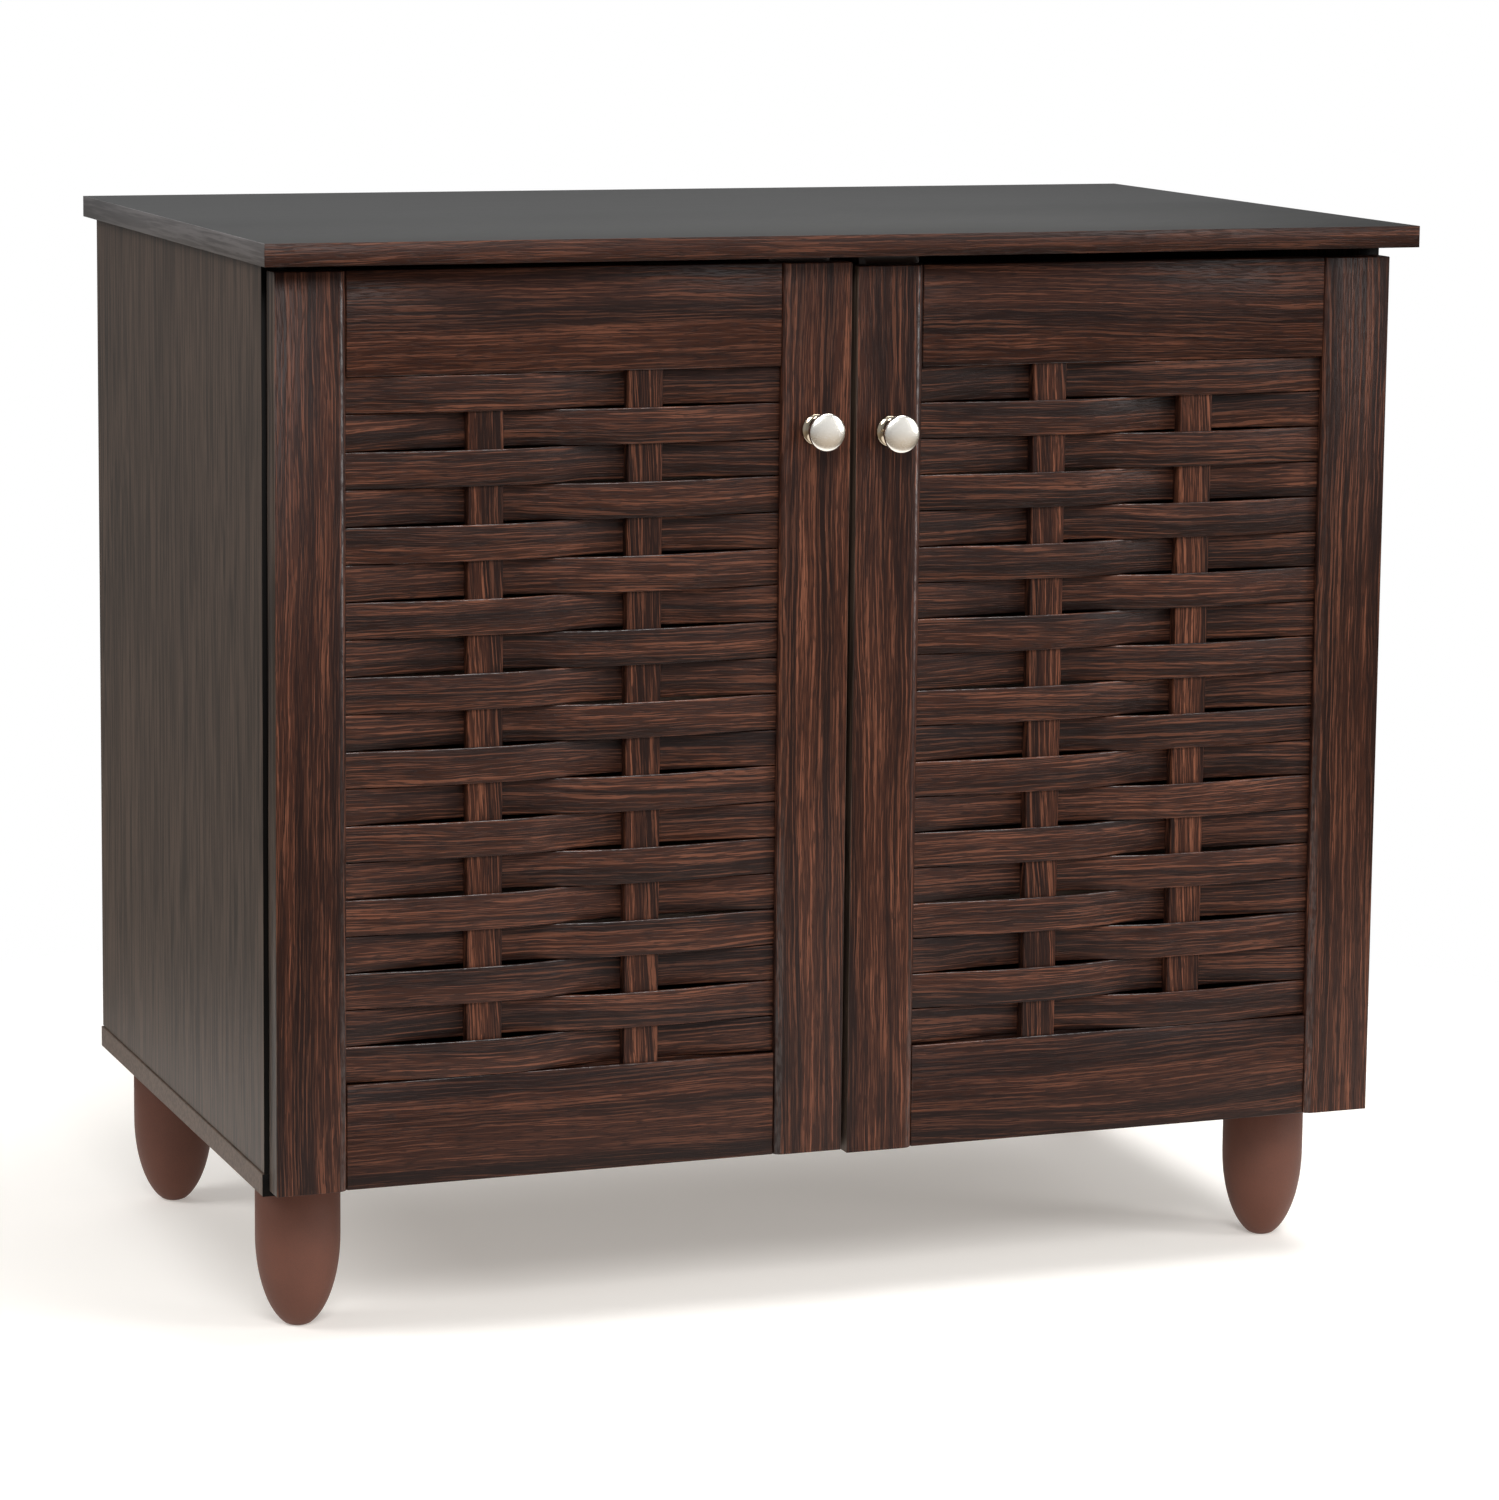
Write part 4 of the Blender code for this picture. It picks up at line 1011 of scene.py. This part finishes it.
class CABINET_OT_knobs(bpy.types.Operator):
    """Turns the knobs, and sets their screws behind them."""

    bl_idname = "cabinet.knobs"
    bl_label = "Knobs"

    def execute(self, context):
        steps = context.scene.cabinet_hardware.knob_steps
        for name in SIDES:
            self.make_knob(name, steps)
            node = f"{name}_knob_screw"
            low, high, middle = span(node)
            seat = span(f"{name}_door_stile_knob")[1].y + SEAT_GAP
            pattern = machine_screw((high.x - low.x) / 2, high.y - seat, 0.002, seat - low.y)
            seats = [(Vector((middle.x, seat, middle.z)), BACKWARD)]
            add_fasteners(f"{name}_knob_bolt", DOOR_BODIES[name], seats, pattern, 1.0, [node])
        return {"FINISHED"}

    def make_knob(self, name, steps):
        """Bright flange and neck, their tone darkened and warmed as a painted reflection of the dark door;
        satin cap with a shallow dome.
        """
        low, high, middle = span(f"{name}_knob")
        cap = (high.x - low.x) / 2
        flange, neck, rim, edge = cap * 0.824, cap * 0.416, 0.0006, 0.0022
        reach = high.y - low.y
        dome = 0.0028
        cap_base = reach - dome - edge
        profile = arc((0.0, reach - dome), (cap, dome), 90, 8, 20)
        profile += arc((cap - rim, reach - dome - 0.0004), (rim, 0.0005), 20, 0, 3)
        profile += arc((cap - rim, cap_base + rim), (rim, rim), 0, -90, 5)
        profile += self.waist(cap - 2 * rim, cap_base, flange - rim, 0.0016, neck)
        profile += arc((flange - rim, 0.0016 - rim), (rim, rim), 90, 0, 5)
        profile += [(flange, 0.0), (0.0023, 0.0), (0.0023, 0.0113), (0.0, 0.0113)]
        shape = turned_shape(profile, steps)
        for face in shape.faces:
            face.material_index = 0 if face.calc_center_median().z > cap_base + 0.0001 else 1
        place = facing_place(Vector((middle.x, high.y, middle.z)), (0, -1, 0))
        bmesh.ops.transform(shape, matrix=place, verts=shape.verts)
        mesh = mesh_of(shape, [finish("nickel_satin"), finish("nickel_bright")], 45.0)
        turning = mesh.attributes.new("turning", "FLOAT", "POINT")
        radii = [math.hypot(vertex.co.x - middle.x, vertex.co.z - middle.z) for vertex in mesh.vertices]
        turning.data.foreach_set("value", radii)
        add_piece(f"{name}_turned_knob", mesh, DOOR_BODIES[name], [f"{name}_knob"])

    def waist(self, top_radius, top, bottom_radius, bottom, neck):
        """The hollow curve from the cap's underside to the flange."""
        points = []
        for i in range(1, 24):
            share = i / 24
            pull = math.sin(math.pi * share) ** 0.6
            rim = top_radius + (bottom_radius - top_radius) * share
            points.append((rim + (neck - rim) * pull, top + (bottom - top) * share))
        return points


class CABINET_OT_feet(bpy.types.Operator):
    """Turns the bullet-shaped feet, and sets their bolts in the bottom panel."""

    bl_idname = "cabinet.feet"
    bl_label = "Feet"

    def execute(self, context):
        seats = []
        for corner in CORNERS:
            low, high, middle = span(f"foot_{corner}")
            radius = (high.x - low.x) / 2
            flat, taper, edge = 0.007, 0.064, 0.0008
            start = math.acos(flat / radius)
            cut = taper * (1 - math.sin(start))
            body = arc((0.0, taper - cut), (radius, -taper), 0, math.degrees(start) - 4, 28)
            bore = [(0.0, high.z - 0.0325), (0.0044, high.z - 0.0325), (0.0044, high.z)]
            profile = [*bore, (radius - edge, high.z), (radius, high.z - edge), *body]
            profile += [(flat, 0.0004), (flat - 0.0012, 0.0), (0.0, 0.0)]
            place = Matrix.Translation((middle.x, middle.y, 0.0))
            mesh = mesh_of(turned_shape(profile, 96, place), [finish("foot_plastic_textured")], 45.0)
            add_piece(f"turned_foot_{corner}", mesh, "cabinet", [f"foot_{corner}"])
            low, high, middle = span(f"foot_bolt_{corner}")
            floor = span("bottom_panel")[1].z + SEAT_GAP
            seats.append((Vector((middle.x, middle.y, floor)), (0.0, 0.0, 1.0)))
        pattern = machine_screw((high.x - low.x) / 2, high.z - floor, 0.004, floor - low.z)
        bolts = [f"foot_bolt_{corner}" for corner in CORNERS]
        add_fasteners("foot_bolts", "cabinet", seats, pattern, 1.0, bolts)
        return {"FINISHED"}


class CABINET_OT_hinges(bpy.types.Operator):
    """Makes the hinge cups and their pins, and finishes the arms."""

    bl_idname = "cabinet.hinges"
    bl_label = "Hinges"

    def execute(self, context):
        radius = context.scene.cabinet_hardware.screw_radius
        plate_seats = []
        for name, side in SIDES.items():
            ear_seats, pin_seats, pins = [], [], []
            for height in HEIGHTS:
                self.make_cup(name, height)
                dress(f"{name}_hinge_arm_{height}", "steel_bright")
                low, high, middle = span(f"{name}_hinge_cup_{height}")
                for end in (-1, 1):
                    z = middle.z + end * ((high.z - low.z) / 2 - 0.0062)
                    ear_seats.append((Vector((middle.x, high.y, z)), BACKWARD))
                _, high, middle = span(f"{name}_hinge_arm_{height}")
                for end in (-1, 1):
                    place = Vector((self.plate_face(name), high.y - 0.029, middle.z + end * 0.0185))
                    plate_seats.append((place, (-float(side), 0.0, 0.0)))
                pins.append(f"{name}_hinge_pin_{height}")
                low, high, middle = span(pins[-1])
                pin_seats.append((middle, (0.0, 0.0, 1.0)))
            body = DOOR_BODIES[name]
            pattern = pin_pattern((high.x - low.x) / 2, high.z - low.z)
            add_fasteners(f"{name}_hinge_pivots", body, pin_seats, pattern, 1.0, pins)
            add_fasteners(f"{name}_cup_screws", body, ear_seats, screw_pattern(), radius)
        add_fasteners("hinge_plate_screws", "cabinet", plate_seats, screw_pattern(), radius)
        return {"FINISHED"}

    def plate_face(self, name):
        """Inner face of a mounting plate."""
        side, thickness = SIDES[name], 0.0022
        low, high, _ = span(f"side_panel_{name}")
        inner = high.x if side < 0 else low.x
        return inner - side * (SEAT_GAP + thickness)

    def make_cup(self, name, height):
        """A pressed cup with a round flange and two screw ears."""
        node = f"{name}_hinge_cup_{height}"
        low, high, middle = span(node)
        seat = span(f"{name}_door_stile_hinge")[1].y + SEAT_GAP
        flange = (high.x - low.x) / 2
        cup, floor, lip = flange - 0.0011, low.y - seat, high.y - seat
        wall, corner, edge = 0.001, 0.0016, 0.0003
        profile = [(0.0, floor + wall)]
        profile += arc((cup - wall - corner, floor + wall + corner), (corner, corner), -90, 0, 5)
        profile += [(cup - wall, lip - edge), (cup - wall + edge, lip)]
        profile += [(flange - edge, lip), (flange, lip - edge), (flange, 0.0), (cup, 0.0)]
        profile += arc((cup - corner, floor + corner), (corner, corner), 0, -90, 5) + [(0.0, floor)]
        place = facing_place(Vector((middle.x, seat, middle.z)))
        cup_mesh = mesh_of(turned_shape(profile, 64, place), [finish("steel_bright")])
        half_width, half_height, overlap = 0.008, (high.z - low.z) / 2, 0.0002
        steps = []
        for end in (-1, 1):
            xs = (middle.x - half_width, middle.x + half_width)
            zs = sorted((middle.z + end * (cup + overlap), middle.z + end * half_height))
            ear = prism_shape(rounded_outline(xs, zs, 0.0045), seat, high.y, "Y")
            steps.append(boolean_step(ear, "UNION"))
        mesh = worked(cup_mesh, steps)
        add_piece(f"{name}_pressed_cup_{height}", mesh, DOOR_BODIES[name], [node])


class CABINET_OT_fittings(bpy.types.Operator):
    """Makes shelf pins, catches, strikes and the back panel's nails."""

    bl_idname = "cabinet.fittings"
    bl_label = "Fittings"

    def execute(self, context):
        self.make_pins()
        self.make_nails(context.scene.cabinet_hardware)
        for name in SIDES:
            self.make_strike(name)
            self.make_catch(name)
        return {"FINISHED"}

    def make_pins(self):
        nodes = [f"shelf_pin_{shelf}_{corner}" for shelf in SHELVES for corner in CORNERS]
        seats = [(span(node)[2], (1.0, 0.0, 0.0)) for node in nodes]
        low, high, _ = span(nodes[0])
        pattern = pin_pattern((high.z - low.z) / 2, high.x - low.x)
        add_fasteners("shelf_pins", "cabinet", seats, pattern, 1.0, nodes)

    def make_nails(self, sizes):
        """Along the back panel's sides and its lower edge."""
        low, high, _ = span("back_panel")
        inset = 0.0065
        count = round((high.z - low.z) / sizes.nail_spacing)
        places = []
        for i in range(count + 1):
            z = low.z + inset + (high.z - low.z - 2 * inset) * i / count
            places += [(low.x + inset, z), (high.x - inset, z)]
        count = round((high.x - low.x) / sizes.nail_spacing)
        for i in range(1, count):
            places.append((low.x + inset + (high.x - low.x - 2 * inset) * i / count, low.z + inset))
        seats = [(Vector((x, high.y, z)), BACKWARD) for x, z in places]
        add_fasteners("back_panel_nails", "cabinet", seats, nail_pattern(), sizes.nail_radius)

    def make_strike(self, name):
        """A thin plate with two countersunk screws that sit below its face."""
        node = f"{name}_door_strike"
        low, high, middle = span(node)
        outline = rounded_outline((low.x, high.x), (low.z, high.z), 0.003)
        plate = mesh_of(prism_shape(outline, low.y, high.y, "Y"), [finish("steel_bright")])
        cone = [(0.0, 0.001), (0.0034, 0.001), (0.0031, 0.0), (0.0018, -0.0014), (0.0, -0.0014)]
        seats, steps = [], []
        for end in (-1, 1):
            place = Vector((middle.x + end * 0.011, high.y, middle.z))
            steps.append(boolean_step(turned_shape(cone, 32, facing_place(place))))
            seats.append((place - Vector((0, 0.0009, 0)), BACKWARD))
        mesh = worked(plate, [*steps, bevel_step(0.0002, 2)])
        add_piece(f"{name}_strike_plate", mesh, DOOR_BODIES[name], [node])
        add_fasteners(f"{name}_strike_screws", DOOR_BODIES[name], seats, screw_pattern(), 0.00125)

    def make_catch(self, name):
        """A plastic body with two steel poles in its front and two screws from below."""
        node = f"magnetic_catch_{name}"
        low, high, middle = span(node)
        body = mesh_of(box_shape(low, high), [finish("catch_plastic_brown")])
        half_width, thickness, gap = 0.014, 0.0018, 0.0002
        start = Vector((middle.x - half_width, low.y, low.z + 0.001))
        end = Vector((middle.x + half_width, low.y + 0.002, middle.z))
        recess = box_shape(start - Vector((gap, 0.001, gap)), end + Vector((gap, 0, gap)))
        mesh = worked(body, [bevel_step(0.0012, 4), boolean_step(recess)])
        add_piece(f"{name}_catch_body", mesh, "cabinet", [node])
        front = start.y + 0.0001
        bases = (start.z, end.z - thickness)
        poles = join_shapes(box_shape((start.x, front, z), (end.x, end.y, z + thickness)) for z in bases)
        mesh = worked(mesh_of(poles, [finish("steel_bright")]), [bevel_step(0.0002, 2)])
        add_piece(f"{name}_catch_poles", mesh, "cabinet")
        xs = (middle.x - 0.0165, middle.x + 0.0165)
        seats = [(Vector((x, middle.y, low.z)), (0.0, 0.0, -1.0)) for x in xs]
        add_fasteners(f"{name}_catch_screws", "cabinet", seats, screw_pattern(), 0.003)


class CABINET_OT_stage(bpy.types.Operator):
    """Sets the floor, the soft lights and the camera."""

    bl_idname = "cabinet.stage"
    bl_label = "Stage"

    def execute(self, context):
        stage = context.scene.cabinet_stage
        self.make_floor(stage)
        self.make_lights()
        self.make_world(context.scene)
        self.make_camera(context.scene, stage)
        context.scene.view_settings.view_transform = "Standard"
        return {"FINISHED"}

    def make_floor(self, stage):
        shape = bmesh.new()
        bmesh.ops.create_circle(shape, cap_ends=True, segments=96, radius=1.2)
        glow = {"Emission Color": (1.0, 0.95, 0.89, 1.0), "Emission Strength": 0.3}
        material, board, shader = new_material("pale_floor", {"Specular IOR Level": 0.1, **glow})
        place = board.object_place()
        cloud = board.noise(place, 2.0, 2.0)
        x, y, _ = board.parts(place)
        solid = board.step((x * x + y * y) ** 0.5, 0.6, 1.1, 1.0, 0.0)
        tone = stage.floor_colour
        body = board.blend(cloud, tone, scaled(tone, 0.99))
        plug(board, shader, {"Base Color": body, "Roughness": 0.75 + cloud * 0.05, "Alpha": solid})
        floor = bpy.data.objects.new("studio_floor", mesh_of(shape, [material]))
        bpy.context.scene.collection.objects.link(floor)

    def make_lights(self):
        lights = {
            "softbox_front": ((-0.9, -3.6, 2.9), (1.8, 1.3), 95.0),
            "softbox_right": ((3.2, -2.5, 1.7), (1.0, 2.4), 62.0),
            "softbox_top": ((0.9, -0.7, 3.3), (2.2, 1.0), 85.0),
            "softbox_back": ((0.8, 3.2, 3.0), (3.6, 1.6), 25.0),
            "softbox_left": ((-3.4, 0.3, 2.6), (1.6, 1.6), 62.0),
        }
        for name, (place, size, power) in lights.items():
            light = bpy.data.lights.new(name, "AREA")
            light.shape = "RECTANGLE"
            light.size, light.size_y = size
            light.energy = power
            lamp = bpy.data.objects.new(name, light)
            lamp.location = place
            aim = Vector((0.0, 0.0, 0.36)) - Vector(place)
            lamp.rotation_euler = aim.to_track_quat("-Z", "Y").to_euler()
            bpy.context.scene.collection.objects.link(lamp)

    def make_world(self, scene):
        """White where the camera looks past the object, softer for the light that it casts."""
        scene.world = bpy.data.worlds.new("studio")
        scene.world.use_nodes = True
        tree = scene.world.node_tree
        tree.nodes.clear()
        board = Board(tree)
        seen = board.node("ShaderNodeLightPath")
        across, depth, height = board.parts(board.node("ShaderNodeTexCoord", {}, (), output=0))
        front = board.step(depth, -0.95, -0.35, 1.0, 0.0) * board.step(across, -0.25, 0.6, 0.25, 1.0)
        brightness = (0.3 + front * 0.65) * board.step(height, -0.6, 0.05, 0.6, 1.0)
        tint = board.blend(board.step(height, -0.35, 0.0), (1.0, 0.84, 0.66), (0.97, 0.985, 1.0))
        around = board.node("ShaderNodeBackground", {}, (tint, brightness))
        behind = board.node("ShaderNodeBackground", {}, ((1.0, 1.0, 1.0, 1.0), 1.0))
        mixed = board.node("ShaderNodeMixShader", {}, (seen, around, behind))
        board.node("ShaderNodeOutputWorld", {}, (mixed,))

    def make_camera(self, scene, stage):
        data = bpy.data.cameras.new("camera")
        data.lens = stage.lens
        data.sensor_width = 36.0
        data.shift_y = stage.rise
        data.clip_start, data.clip_end = 0.05, 60.0
        camera = bpy.data.objects.new("camera", data)
        forward = Vector((
            math.sin(stage.yaw) * math.cos(stage.pitch),
            math.cos(stage.yaw) * math.cos(stage.pitch),
            -math.sin(stage.pitch),
        ))
        level = Vector((math.cos(stage.yaw), -math.sin(stage.yaw), 0.0))
        upward = level.cross(forward)
        right = level * math.cos(stage.roll) + upward * math.sin(stage.roll)
        up = upward * math.cos(stage.roll) - level * math.sin(stage.roll)
        turn = Matrix((right, up, -forward)).transposed().to_4x4()
        camera.matrix_world = Matrix.Translation(Vector(stage.camera_place)) @ turn
        scene.collection.objects.link(camera)
        scene.camera = camera


OPERATORS = [
    CABINET_OT_finishes,
    CABINET_OT_carcass,
    CABINET_OT_door_frames,
    CABINET_OT_weave,
    CABINET_OT_knobs,
    CABINET_OT_feet,
    CABINET_OT_hinges,
    CABINET_OT_fittings,
    CABINET_OT_stage,
]


class CABINET_PT_panel(bpy.types.Panel):
    """Lists the cabinet's operators."""

    bl_idname = "CABINET_PT_panel"
    bl_label = "Shoe cabinet"
    bl_space_type = "VIEW_3D"
    bl_region_type = "UI"
    bl_category = "Cabinet"

    def draw(self, context):
        for operator in OPERATORS:
            self.layout.operator(operator.bl_idname)


CLASSES = [*SETTINGS.values(), *OPERATORS, CABINET_PT_panel]


def register():
    for cls in CLASSES:
        bpy.utils.register_class(cls)
    for name, group in SETTINGS.items():
        setattr(bpy.types.Scene, name, bpy.props.PointerProperty(type=group))


def unregister():
    for name in SETTINGS:
        delattr(bpy.types.Scene, name)
    for cls in reversed(CLASSES):
        bpy.utils.unregister_class(cls)


def main():
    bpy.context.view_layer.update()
    register()
    for operator in OPERATORS:
        group, name = operator.bl_idname.split(".")
        getattr(getattr(bpy.ops, group), name)()


if __name__ == "__main__":
    main()
